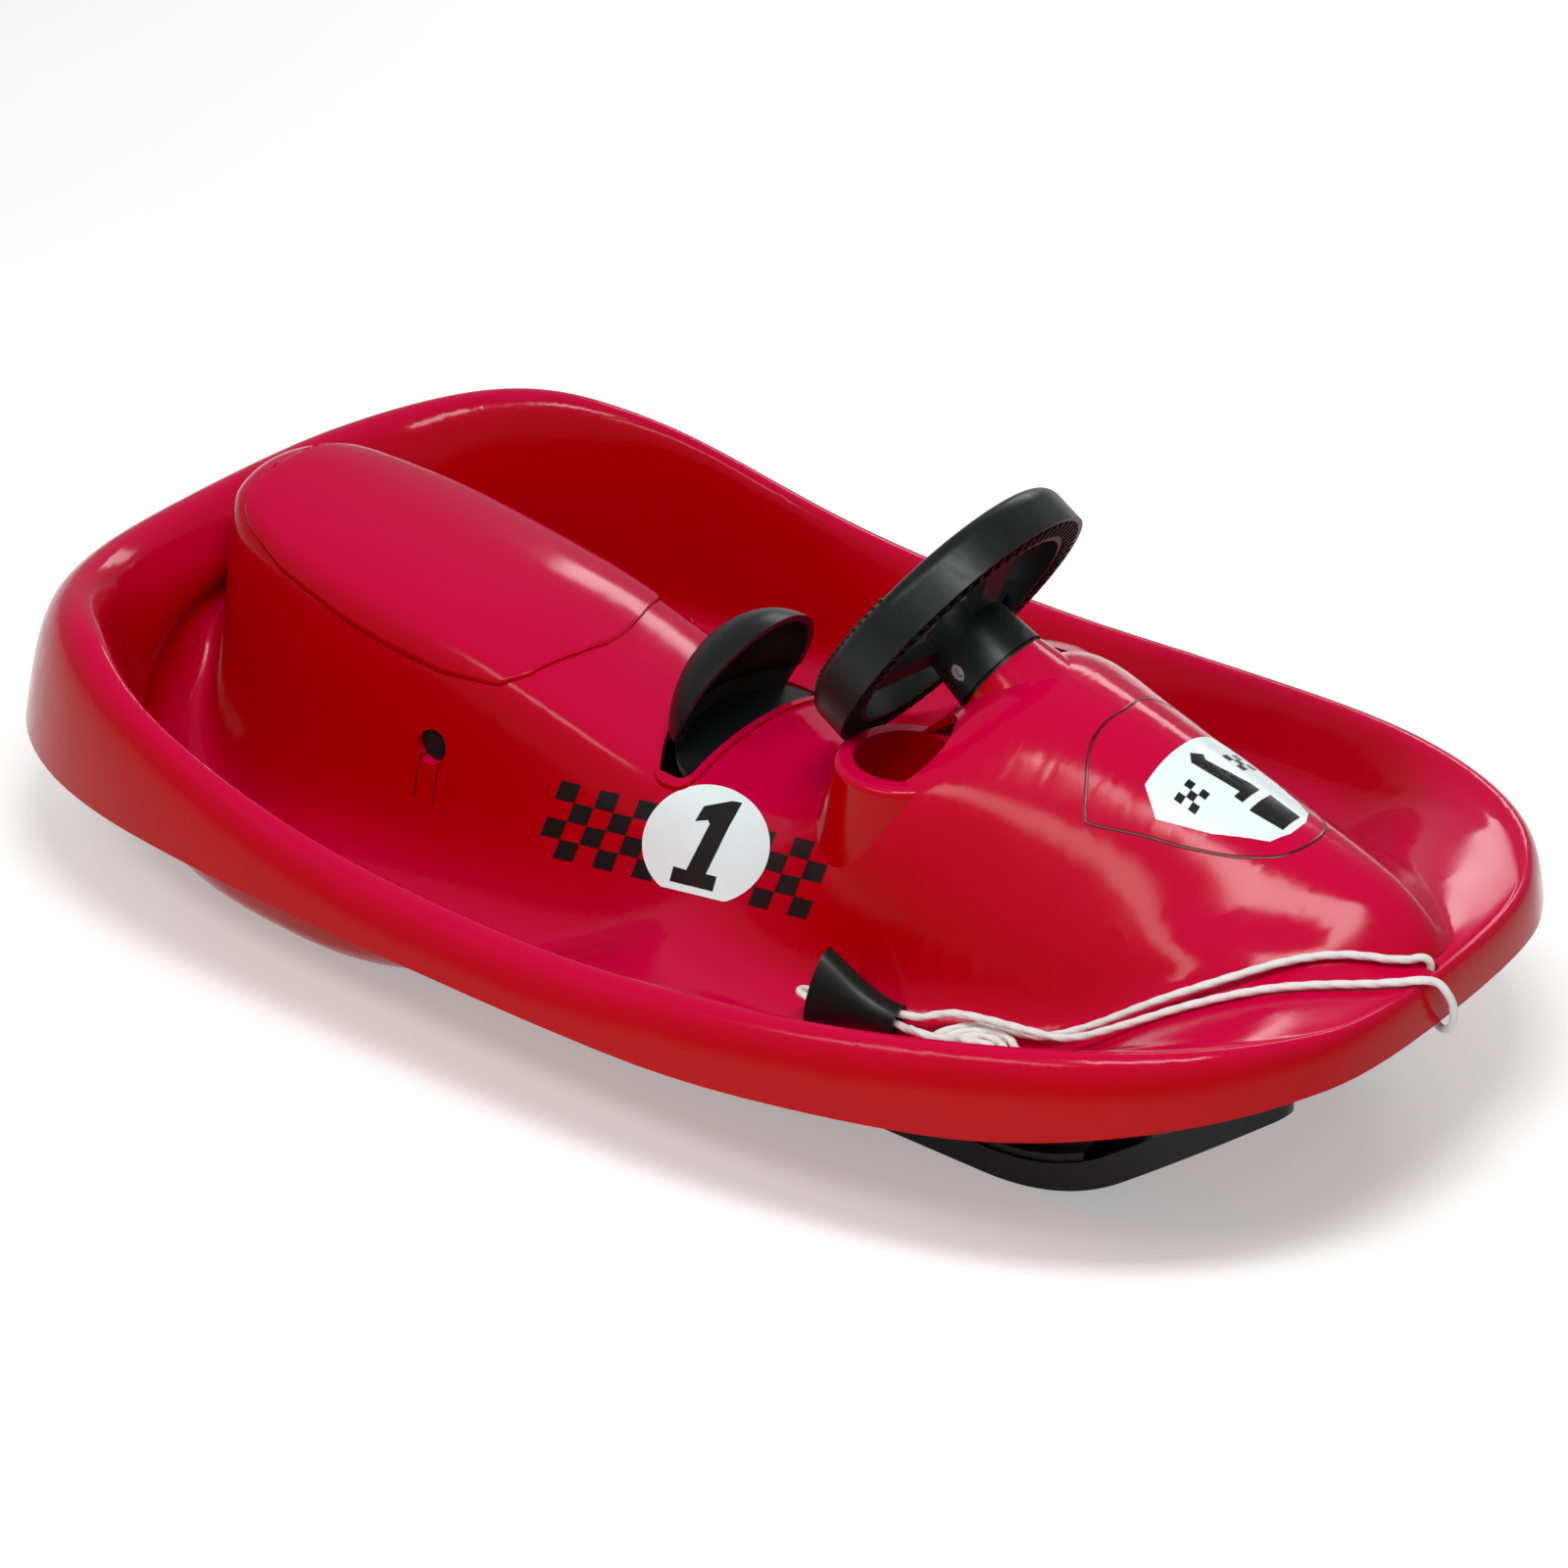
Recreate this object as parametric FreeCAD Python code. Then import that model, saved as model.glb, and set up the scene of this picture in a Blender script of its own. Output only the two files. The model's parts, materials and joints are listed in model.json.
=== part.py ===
import FreeCAD, Part
import math
import os
from FreeCAD import Vector as V

# Steering sled. Millimetres, +X to the nose, +Y to the rider's left, +Z up, floor at zero.

# Hull plan and wall
NOSE_X = 501.0
REAR_X = -501.0
HALF_WIDTH = 288.0
WIDEST_X = -110.0
OUTLINE_POWER = 3.0
WALL = 4.0
SKIRT_BULGE_INSET = 4.0
CREST_INSET = 10.0
CREST_DROP = 6.0
LIP_INSET = 23.0
WALL_TOP_INSET = 32.0
WALL_FOOT_INSET = 46.0
FLOOR_EDGE_RISE = 20.0
FLOOR_EDGE_IN = [(90, 0.35), (125, 0.18), (150, 0.18), (180, 0.35)]
FLOOR_EDGE_OUT = [(60, 0.78), (100, 0.9), (150, 0.94), (180, 0.94)]

# Heights along the hull, as (x, z)
SKIRT_HEIGHT = [(-501, 92), (-245, 98), (-60, 94), (150, 90), (350, 105), (470, 130), (501, 135)]
LIP_HEIGHT = [(-501, 168), (-400, 190), (-290, 168), (-140, 133), (40, 125), (210, 138), (360, 157),
              (470, 166), (501, 163)]
FLOOR_HEIGHT = [(-440, 150), (-408, 60), (-375, 18), (-300, 12), (-20, 12), (30, 58), (200, 74), (325, 90),
                (385, 148), (440, 160), (500, 164)]
SPINE_HEIGHT = [(-424, 180), (-416, 205), (-400, 214), (-160, 181), (-90, 158), (-25, 143), (35, 146),
                (90, 164), (135, 197), (172, 234), (205, 262), (269, 248), (396, 210), (455, 194), (478, 178),
                (486, 164)]

# Ridge of seat, saddle and cowl, as (x, size)
SHOULDER_DROP = [(-424, 4), (-400, 12), (-160, 13), (-60, 12), (35, 12), (90, 14), (150, 10), (172, 26),
                 (205, 52), (269, 46), (396, 26), (486, 4)]
TOP_HALF = [(-424, 20), (-390, 62), (-300, 80), (-160, 76), (-100, 72), (-25, 72), (35, 74), (100, 92),
            (150, 104), (205, 96), (269, 74), (396, 50), (448, 28), (470, 18), (486, 12)]
BASE_HALF = [(-424, 30), (-390, 92), (-300, 120), (-200, 120), (-60, 116), (35, 124), (90, 132), (150, 140),
             (200, 138), (300, 122), (396, 95), (448, 52), (470, 30), (486, 16)]
FLANK_LEAN = [(-424, 0.45), (0, 0.5), (120, 0.3), (250, 0.22), (486, 0.3)]

# Sections of the hull from nose to rear, as (angle round the outline, x on the spine)
STATIONS = [(0, 486), (9, 482), (17, 470), (25, 448), (34, 415), (43, 372), (51, 325), (58, 278), (64, 238),
            (70, 205), (75, 172), (80, 135), (85, 90), (90, 35), (95, -25), (101, -90), (108, -160),
            (116, -230), (125, -300), (136, -355), (148, -393), (160, -412), (171, -420), (180, -424)]

# Share of the rim's width by angle: the nose has a flat deck and a short edge, the rear leans in
RIM_SHARE = [(0, 0.3), (20, 0.5), (45, 0.9), (75, 1.0), (110, 1.0), (130, 1.6), (180, 1.7)]

# Clearances
GAP = 0.3
RUNNING_FIT = 0.05
PIN_PLAY = 0.6

# Moulded rear runners
RUNNER_Y = 150.0
RUNNER_WIDTH = 22.0
RUNNER_REAR_X = -330.0
RUNNER_FRONT_X = -40.0

# Steering column, in a frame with z up the column and x forward of it
WHEEL_CENTRE = V(137, 0, 270)
COLUMN_TILT = 57.0
COLUMN_RADIUS = 11.0
COLUMN_WALL = 2.5
COLUMN_TOP = -15.0
NECK_TOP = -52.0
NECK_RADIUS = 31.0
NECK_FOOT = -100.0
NECK_FOOT_RADIUS = 41.0
NECK_PLATE = 6.0
BUSH_SLEEVE_RADIUS = 15.0
BUSH_FLANGE_RADIUS = 29.0
BUSH_FLANGE = 2.4
BUSH_LENGTH = 24.0

# Steering wheel
RIM_RADIUS = 86.0
RIM_THICK = 20.0
RIM_DEPTH = 30.0
RIM_WALL = 3.5
HUB_RADIUS = 27.0
HUB_TOP = -8.0
SPOKE_WIDTH = 24.0
SPOKE_THICK = 9.0
SPOKE_ANGLES = (0.0, 115.0, 245.0)
CAP_RADIUS = 20.0
CAP_HEIGHT = 4.0
BOLT_RADIUS = 3.0
BOLT_HEAD_RADIUS = 6.0
BOLT_HEAD = 4.0
BOLT_Z = -36.0

# Foot bearing of the column
FOOT_TOP = -118.0
FOOT_LENGTH = 18.0
FOOT_RADIUS = 17.0
FOOT_PLATE = 5.0
FOOT_REACH = 52.0
FOOT_SCREW_Y = 42.0
PILLAR_RADIUS = 8.0
SCREW_RADIUS = 2.5
SCREW_HEAD_RADIUS = 5.0
SCREW_HEAD = 3.0
SCREW_DEPTH = 14.0
CLIP_RADIUS = 16.0
CLIP_THICK = 2.0

# Crank and tie rod
CRANK_RADIUS = 24.0
CRANK_THICK = 6.0
CRANK_COLLAR_RADIUS = 17.0
CRANK_TOP = -146.0
FINGER_RADIUS = 5.0
FINGER_LENGTH = 35.0
TIE_CENTRE_Z = 154.0
TIE_END_Z = 63.0
TIE_THICK = 8.0
TIE_WIDTH = 18.0
TIE_FLAT_Y = 34.0
TIE_BEND_Y = 76.0
STEER_LIMIT = 35.0
ARM_LENGTH = 55.0
ARM_PIN_RADIUS = 4.0

# Skis
SKI_Y = 104.0
SKI_REAR_X = -4.0
SKI_BEND_X = 272.0
SKI_TIP_X = 458.0
SKI_TIP_RISE = 37.0
SKI_HALF_WIDTH = 34.0
SKI_THICK = 18.0
SKI_BEND_RADIUS = 160.0
SKI_GROOVE = 3.0

# Kingpins and ski brackets
BOSS_RADIUS = 15.0
BOSS_FOOT_Z = 68.0
KINGPIN_RADIUS = 6.0
KINGPIN_HEAD_RADIUS = 10.0
KINGPIN_HEAD = 4.0
KINGPIN_GRIP = 16.0
HUB_WALL = 8.0
BRACKET_HUB_HEIGHT = 17.4
BRACKET_PLATE = 5.0
BRACKET_LENGTH = 116.0
BRACKET_WIDTH = 46.0
BRACKET_FLANGE = 9.0
BRACKET_SCREW_INSET = 10.0

# Brake
AXLE_X = -190.0
AXLE_Z = 107.0
AXLE_RADIUS = 11.0
AXLE_RECESS = 4.0
AXLE_BOSS_RADIUS = 17.0
AXLE_BOSS_DEPTH = 16.0
SLIT_WIDTH = 1.8
SLIT_SPACING = 15.0
SLIT_LENGTH = 24.0
SLOT_FRONT_X = -6.0
SLOT_SIDE_X = -27.0
SLOT_REAR_X = -50.0
SLOT_HALF = 69.0
SLOT_RIM = 5.0
SLOT_RIM_RISE = 2.5
LEVER_NECK_INNER = 155.0
LEVER_NECK_OUTER = 180.0
LEVER_NECK_HALF = 34.0
LEVER_NECK_ANGLE = 20.0
LEVER_ARM_ANGLE = -11.0
LEVER_ARM_Y = 26.0
LEVER_ARM_THICK = 8.0
LEVER_HUB_RADIUS = 18.0
HOOD_HALF = 68.0
HOOD_DEPTH = 46.0
HOOD_HEIGHT = 64.0
HOOD_FOOT_Z = 155.0
HOOD_FORWARD = 2.0
HOOD_WALL = 5.0
HOOD_MOUTH_BACK = 16.0
HOOD_MOUTH_LEAN = 23.0
HOOD_SKIRT_INSET = 4.0
HOOD_SKIRT_REAR = 13.0
HOOD_SKIRT_SLOPE = 17.0
HOOD_FLOOR = 5.0
HOOD_FLOOR_BACK = 5.0
TAIL_ANGLE = 215.0
TAIL_LENGTH = 78.0
TAIL_THICK = 14.0
TAIL_HALF = 34.0
CLAW_THICK = 3.0
CLAW_HALF = 46.0
CLAW_START = 36.0
CLAW_END = 132.0
CLAW_TEETH = 5
RIVET_RADIUS = 3.0

# Cup pockets
CUP_X = 158.0
CUP_Y = 67.0
CUP_RADIUS = 30.5
CUP_FLOOR_Z = 142.0
CUP_MOUTH_Z = 209.0
CUP_LEDGE = 11.0
CUP_DRAFT = 12.0
CUP_EDGE = 6.0

# Tow rope: hole in the nose, two strands as (x, y, height above the skin), coiled hank and handle
ROPE_RADIUS = 2.5
ROPE_HOLE_X = 488.0
ROPE_HOLE_Y = -11.0
ROPE_HOLE_RADIUS = 4.0
STRAND_OVER_LIP = [(332, -143, 11), (362, -135, 6.5), (394, -117, 5.6), (426, -90, 4.8), (452, -70, 4.2),
                   (474, -54, 4.0), (488, -40, 4.2)]
LIP_TURN = [(500, -28, 167.5), (508.5, -23, 157), (510, -19, 141), (504, -14, 127), (494, -11, 125),
            (488, -10.5, 136), (488, -11, 152), (487.6, -11.5, 170)]
STRAND_FROM_HOLE = [(477, -27, 5.2), (452, -44, 5.4), (428, -66, 6.2), (403, -96, 9.0), (372, -118, 10),
                    (338, -129, 9), (310, -135, 7)]
HANK_CENTRE = V(282, -167, 103.2)
HANK_RADIUS = 30.0
HANK_PITCH = 6.2
HANK_TURNS = 3
HANK_SLOPE = 7.0
HANK_LIFT = 9.0
HANDLE_NECK = V(224, -159, 97.2)
HANDLE_BACK = V(172, -168, 105.8)
HANDLE_NECK_RADIUS = 9.5
HANDLE_HEIGHT = 50.0
HANDLE_WIDTH = 28.0
HANDLE_WALL = 2.5
HANDLE_LEAN = 12.0

SAVED = {}


def save(name, shape):
    SAVED[name] = shape
    shape.exportStep("parts/" + name + ".step")


def level(keys, x):
    if x <= keys[0][0]:
        return keys[0][1]
    for (xa, za), (xb, zb) in zip(keys, keys[1:]):
        if x <= xb:
            return za + (zb - za) * (x - xa) / (xb - xa)
    return keys[-1][1]


def mirrored(shape):
    return shape.mirror(V(0, 0, 0), V(0, 1, 0))


def both_sides(shape):
    return [shape, mirrored(shape)]


def disc(radius, low, high, x=0.0, y=0.0):
    return Part.makeCylinder(radius, high - low, V(x, y, low))


def ring(outer, inner, low, high, x=0.0, y=0.0):
    return disc(outer, low, high, x, y).cut(disc(inner, low - 1, high + 1, x, y))


def block(x0, x1, y0, y1, z0, z1):
    return Part.makeBox(x1 - x0, y1 - y0, z1 - z0, V(x0, y0, z0))


def prism(points, along):
    wire = Part.makePolygon([V(*p) for p in points] + [V(*points[0])])
    return Part.Face(wire).extrude(V(*along))


# Hull surface from named rails

def outline(angle, inset):
    c = math.cos(math.radians(angle))
    s = max(math.sin(math.radians(angle)), 0.0)
    reach = (NOSE_X - WIDEST_X if c >= 0 else WIDEST_X - REAR_X) - inset
    x = WIDEST_X + math.copysign(reach * abs(c) ** (2 / OUTLINE_POWER), c)
    return x, (HALF_WIDTH - inset) * s ** (2 / OUTLINE_POWER)


def station(angle, sx):
    ox, oy = outline(angle, 0)
    skirt = level(SKIRT_HEIGHT, ox)
    lip = level(LIP_HEIGHT, ox)
    floor = level(FLOOR_HEIGHT, sx)
    top = level(SPINE_HEIGHT, sx)
    rise = top - floor
    drop = min(level(SHOULDER_DROP, sx), 0.4 * rise)
    shoulder = top - drop
    spread = 0.0 if angle in (0, 180) else 1.0
    base = level(BASE_HALF, sx) * spread
    half = level(TOP_HALF, sx) * spread
    rim = level(RIM_SHARE, angle)
    lx, ly = outline(angle, WALL_TOP_INSET * rim)
    foot_x, foot_y = outline(angle, WALL_FOOT_INSET * rim)
    if angle < 20:
        foot_x = lx + 0.2 * (sx - lx)
    wall_top = lip - 6 * rim
    edge = floor + FLOOR_EDGE_RISE * min(1.0, (wall_top - floor) / 100)
    return [
        (ox, oy, skirt),
        (*outline(angle, SKIRT_BULGE_INSET * rim), skirt + 0.45 * (lip - skirt)),
        (*outline(angle, CREST_INSET * rim), lip - CREST_DROP),
        (*outline(angle, LIP_INSET * rim), lip + 2 * rim),
        (lx, ly, wall_top),
        (foot_x, max(foot_y, base + 0.5 * (ly - base)), edge + 0.3 * (wall_top - edge)),
        (lx + level(FLOOR_EDGE_IN, angle) * (sx - lx),
         base + level(FLOOR_EDGE_OUT, angle) * (ly - base), edge),
        (lx + 0.7 * (sx - lx), base + 0.3 * (ly - base), floor),
        (lx + 0.9 * (sx - lx), base, floor + 0.12 * rise),
        (sx, base + level(FLANK_LEAN, sx) * (half - base), floor + 0.55 * (shoulder - floor)),
        (sx, half + 0.1 * (base - half), shoulder - min(4, 0.06 * rise)),
        (sx, 0.8 * half, shoulder + 0.4 * drop),
        (sx, 0.35 * half, top),
        (sx, 0.0, top),
    ]


def level_ends(net):
    last = len(net[0]) - 2
    for beside, end in ((1, 0), (-2, -1)):
        for k in range(last):
            p = net[end][k]
            net[end][k] = V(p.x, 0, p.z)
            net[beside][k] = V(p.x, net[beside][k].y, p.z)
    for row in net:
        row[-2] = V(row[-1].x, row[-2].y, row[-1].z)
    return net


def hull_net():
    return level_ends([[V(*p) for p in station(a, x)] for a, x in STATIONS])


def knots(count):
    spans = count - 3
    return [i / spans for i in range(spans + 1)], [4] + [1] * (spans - 1) + [4]


def patch(net):
    uk, um = knots(len(net))
    vk, vm = knots(len(net[0]))
    surface = Part.BSplineSurface()
    surface.buildFromPolesMultsKnots(net, um, vm, uk, vk, False, False, 3, 3)
    return surface


def pole_places(count):
    values, counts = knots(count)
    full = [v for v, n in zip(values, counts) for _ in range(n)]
    return [sum(full[i + 1:i + 4]) / 3 for i in range(count)]


def sunk(net, depth):
    surface = patch(net)
    places_u = pole_places(len(net))
    places_v = pole_places(len(net[0]))
    moved = []
    for i, row in enumerate(net):
        line = []
        for j, pole in enumerate(row):
            u = min(max(places_u[i], 0.004), 0.996)
            n = surface.normal(u, min(places_v[j], 0.985))
            if i in (0, len(net) - 1) or j == len(row) - 1:
                n = V(n.x, 0, n.z).normalize()
            line.append(pole - n * depth)
        moved.append(line)
    return level_ends(moved)


def skin(net):
    return both_sides(patch(net).toShape())


def solid_of(faces):
    shell = Part.makeCompound(faces)
    shell.sewShape(0.01)
    solid = Part.makeSolid(shell.Shells[0])
    if solid.Volume < 0:
        solid.reverse()
    return solid


def skirt_edge(poles):
    uk, um = knots(len(poles))
    curve = Part.BSplineCurve()
    curve.buildFromPolesMultsKnots(poles, um, uk, False, 3)
    return curve.toShape()


def between(upper, lower):
    faces = skin(upper) + skin(lower)
    edges = [skirt_edge([row[0] for row in net]) for net in (upper, lower)]
    return solid_of(faces + both_sides(Part.makeRuledSurface(*edges)))


def volume_under(net, depth):
    edge = skirt_edge([row[0] for row in net])
    low = skirt_edge([V(row[0].x, row[0].y, depth) for row in net])
    faces = skin(net) + both_sides(Part.makeRuledSurface(edge, low))
    return solid_of(faces + [Part.Face(Part.Wire(both_sides(low)))])


def on_column(shape):
    turn = FreeCAD.Rotation(V(0, 1, 0), -COLUMN_TILT)
    shape.Placement = FreeCAD.Placement(WHEEL_CENTRE, turn).multiply(shape.Placement)
    return shape


def column_point(x, z):
    turn = FreeCAD.Rotation(V(0, 1, 0), -COLUMN_TILT)
    return WHEEL_CENTRE + turn.multVec(V(x, 0, z))


# Places worked out from the column
def tie_place():
    start = column_point(-CRANK_RADIUS, 0)
    along = column_point(-CRANK_RADIUS, -1) - start
    return start.x + along.x * (TIE_CENTRE_Z - start.z) / along.z


TIE_X = tie_place()
KINGPIN_X = TIE_X + ARM_LENGTH


def slot_outline(grow):
    front = SLOT_FRONT_X + grow
    side = SLOT_SIDE_X
    half = SLOT_HALF + grow
    arc = Part.Arc(V(side, half, 0), V(SLOT_REAR_X - grow, 0, 0), V(side, -half, 0)).toShape()
    line = [V(side, -half, 0), V(front, -half, 0), V(front, half, 0), V(side, half, 0)]
    edges = [arc] + [Part.makeLine(a, b) for a, b in zip(line, line[1:])]
    return Part.Face(Part.Wire(edges))


def slot_prism(grow, low, high):
    body = slot_outline(grow).extrude(V(0, 0, high - low))
    corners = [e for e in body.Edges if e.Curve.TypeId == "Part::GeomLine" and abs(e.tangentAt(0).z) > 0.9]
    body = body.makeFillet(8.0 + grow, [e for e in corners if e.BoundBox.XMin > SLOT_SIDE_X])
    body.translate(V(0, 0, low))
    return body


def axle_line(radius, start, end):
    return Part.makeCylinder(radius, end - start, V(AXLE_X, start, AXLE_Z), V(0, 1, 0))


def flank_at_axle(fill):
    line = Part.makeLine(V(AXLE_X, 0, AXLE_Z), V(AXLE_X, HALF_WIDTH, AXLE_Z))
    inside = [e.BoundBox for e in line.common(fill).Edges]
    return min(inside, key=lambda b: b.YMin).YMax


def cup_pod():
    low = CUP_FLOOR_Z - WALL
    high = CUP_MOUTH_Z - low
    top = CUP_RADIUS + CUP_LEDGE
    foot = top + high * math.tan(math.radians(CUP_DRAFT))
    pod = Part.makeCone(foot, top, high, V(CUP_X, CUP_Y, low))
    return pod.makeFillet(CUP_EDGE, [e for e in pod.Edges if e.BoundBox.ZMin > CUP_MOUTH_Z - 1])


def cup_hollow():
    """Room under the ledge, between the pocket's wall and the pod's outer wall."""
    low = CUP_FLOOR_Z - 2 * WALL
    high = CUP_MOUTH_Z - WALL - low
    top = CUP_RADIUS + CUP_LEDGE - WALL
    foot = top + high * math.tan(math.radians(CUP_DRAFT))
    room = Part.makeCone(foot, top, high, V(CUP_X, CUP_Y, low))
    return room.cut(disc(CUP_RADIUS + WALL, low - 1, CUP_MOUTH_Z, CUP_X, CUP_Y))


def build_hull():
    net = hull_net()
    hull = between(net, sunk(net, WALL))
    fill = volume_under(net, -60.0)
    added = []
    # column neck with its plate, pillars for the foot bearing
    cone_height = NECK_TOP - NECK_FOOT
    added.append(on_column(Part.makeCone(NECK_FOOT_RADIUS, NECK_RADIUS, cone_height, V(0, 0, NECK_FOOT))))
    # cup pods, kingpin bosses, runners and axle bosses
    added += both_sides(cup_pod())
    boss = disc(BOSS_RADIUS, BOSS_FOOT_Z, WHEEL_CENTRE.z, KINGPIN_X, SKI_Y)
    inner_face = RUNNER_Y - RUNNER_WIDTH / 2
    slab = block(RUNNER_REAR_X, RUNNER_FRONT_X, inner_face, inner_face + RUNNER_WIDTH, 0, 60)
    ends = [e for e in slab.Edges if e.BoundBox.ZMax < 1 and e.BoundBox.YLength > 1]
    slab = slab.makeFillet(14.0, ends)
    side = flank_at_axle(fill)
    bearing = axle_line(AXLE_BOSS_RADIUS, side - AXLE_BOSS_DEPTH, side + AXLE_BOSS_DEPTH)
    for piece in (boss, slab, bearing):
        added += both_sides(piece.common(fill))
    # raised rim round the brake slot
    raised = volume_under(sunk(net, -SLOT_RIM_RISE), -60.0)
    rim = slot_prism(SLOT_RIM, 120, 220).common(raised).cut(volume_under(sunk(net, WALL), -80.0))
    added.append(rim)
    for piece in added:
        hull = hull.fuse(piece)
    inside = V(0, 0, NECK_FOOT - NECK_PLATE)
    cone = Part.makeCone(NECK_FOOT_RADIUS - WALL, NECK_RADIUS - WALL, cone_height, inside)
    cuts = [on_column(cone), on_column(disc(BUSH_SLEEVE_RADIUS, NECK_TOP - 2 * NECK_PLATE, NECK_TOP + 1))]
    cuts.append(on_column(disc(NECK_RADIUS + 2, NECK_TOP, HUB_TOP)))
    cuts.append(slot_prism(0.0, 90, 260))
    cuts.append(disc(ROPE_HOLE_RADIUS, 150, 185, ROPE_HOLE_X, ROPE_HOLE_Y))
    cup_hole = disc(CUP_RADIUS, CUP_FLOOR_Z, WHEEL_CENTRE.z, CUP_X, CUP_Y)
    thread = disc(KINGPIN_RADIUS, BOSS_FOOT_Z - 1, BOSS_FOOT_Z + KINGPIN_GRIP, KINGPIN_X, SKI_Y)
    axle_hole = axle_line(AXLE_RADIUS + RUNNING_FIT, side - AXLE_BOSS_DEPTH - 1, side + 60)
    for piece in (cup_hollow(), cup_hole, thread, axle_hole):
        cuts += both_sides(piece)
    for off in (-SLIT_SPACING / 2, SLIT_SPACING / 2):
        low = AXLE_Z - AXLE_RADIUS - SLIT_LENGTH
        rear = AXLE_X + off - SLIT_WIDTH / 2
        slit = block(rear, rear + SLIT_WIDTH, side - 24, side + 40, low, AXLE_Z)
        cuts += both_sides(slit)
    for piece in cuts:
        hull = hull.cut(piece)
    # pillars for the foot bearing, from the cowl down to its plate
    pillar = on_column(disc(PILLAR_RADIUS, FOOT_TOP, NECK_TOP, 0, FOOT_SCREW_Y)).common(fill)
    pilot = disc(SCREW_RADIUS, FOOT_TOP - 1, FOOT_TOP + SCREW_DEPTH, 0, FOOT_SCREW_Y)
    pillar = pillar.cut(on_column(pilot))
    for piece in both_sides(pillar):
        hull = hull.fuse(piece)
    return hull, fill, side


# Steering pieces

def rim_arch(half, foot):
    spring = RIM_DEPTH / 2 - RIM_THICK / 2
    corners = [V(RIM_RADIUS - half, 0, foot), V(RIM_RADIUS - half, 0, spring),
               V(RIM_RADIUS + half, 0, spring), V(RIM_RADIUS + half, 0, foot)]
    crown = Part.Arc(corners[1], V(RIM_RADIUS, 0, spring + half), corners[2]).toShape()
    edges = [Part.makeLine(corners[0], corners[1]), crown, Part.makeLine(corners[2], corners[3]),
             Part.makeLine(corners[3], corners[0])]
    return Part.Face(Part.Wire(edges)).revolve(V(0, 0, 0), V(0, 0, 1), 360)


def rim_ring():
    # channel that is open on the side away from the rider
    foot = -RIM_DEPTH / 2
    return rim_arch(RIM_THICK / 2, foot).cut(rim_arch(RIM_THICK / 2 - RIM_WALL, foot - 1))


def steering_wheel():
    low = NECK_TOP + BUSH_FLANGE + GAP
    hub = Part.makeCone(NECK_RADIUS, HUB_RADIUS, HUB_TOP - low, V(0, 0, low))
    body = hub.fuse(rim_ring())
    inner = HUB_RADIUS - 8
    outer = RIM_RADIUS - RIM_THICK / 2 + RIM_WALL
    drop = SPOKE_THICK / 2
    profile = [(inner, HUB_TOP - 3 - 2 * drop), (inner, HUB_TOP - 3), (outer, drop), (outer, -drop)]
    for angle in SPOKE_ANGLES:
        spoke = prism([(r, -SPOKE_WIDTH / 2, z) for r, z in profile], (0, SPOKE_WIDTH, 0))
        spoke.rotate(V(0, 0, 0), V(0, 0, 1), angle)
        body = body.fuse(spoke)
    body = body.cut(disc(COLUMN_RADIUS, low - 1, COLUMN_TOP))
    return body.cut(bolt_hole())


def bolt_hole():
    hole = Part.makeCylinder(BOLT_RADIUS, 4 * HUB_RADIUS, V(0, -2 * HUB_RADIUS, BOLT_Z), V(0, 1, 0))
    for turn in (1, -1):
        start = V(0, turn * (HUB_RADIUS - BOLT_HEAD), BOLT_Z)
        hole = hole.fuse(Part.makeCylinder(BOLT_HEAD_RADIUS, BOLT_HEAD + 4, start, V(0, turn, 0)))
    return hole


def hub_bolt():
    grip = 2 * (HUB_RADIUS - BOLT_HEAD)
    shank = Part.makeCylinder(BOLT_RADIUS, grip + BOLT_HEAD, V(0, -grip / 2, BOLT_Z), V(0, 1, 0))
    face = V(0, -grip / 2 - BOLT_HEAD, BOLT_Z)
    head = Part.makeCylinder(BOLT_HEAD_RADIUS - GAP, BOLT_HEAD, face, V(0, 1, 0))
    socket = Part.makeCylinder(BOLT_RADIUS, BOLT_HEAD / 2, face, V(0, 1, 0))
    return shank.fuse(head).cut(socket)


def hub_nut():
    start = HUB_RADIUS - BOLT_HEAD
    size = BOLT_HEAD_RADIUS - GAP
    corners = [(size * math.cos(math.radians(a)), start, BOLT_Z + size * math.sin(math.radians(a)))
               for a in range(0, 360, 60)]
    nut = prism(corners, (0, BOLT_HEAD, 0))
    below = V(0, start - BOLT_HEAD, BOLT_Z)
    return nut.cut(Part.makeCylinder(BOLT_RADIUS, 3 * BOLT_HEAD, below, V(0, 1, 0)))


def wheel_cap():
    cap = disc(CAP_RADIUS, HUB_TOP, HUB_TOP + CAP_HEIGHT)
    return cap.makeFillet(CAP_HEIGHT / 2, [e for e in cap.Edges if e.BoundBox.ZMin > HUB_TOP + 1])


def column_tube():
    foot = CRANK_TOP - CRANK_THICK
    tube = ring(COLUMN_RADIUS, COLUMN_RADIUS - COLUMN_WALL, foot, COLUMN_TOP)
    start = V(0, -2 * HUB_RADIUS, BOLT_Z)
    return tube.cut(Part.makeCylinder(BOLT_RADIUS, 4 * HUB_RADIUS, start, V(0, 1, 0)))


def top_bush():
    bush = disc(BUSH_FLANGE_RADIUS, NECK_TOP, NECK_TOP + BUSH_FLANGE)
    bush = bush.fuse(disc(BUSH_SLEEVE_RADIUS, NECK_TOP - BUSH_LENGTH, NECK_TOP + 1))
    return bush.cut(disc(COLUMN_RADIUS + RUNNING_FIT, NECK_TOP - BUSH_LENGTH - 1, NECK_TOP + 10))


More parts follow.
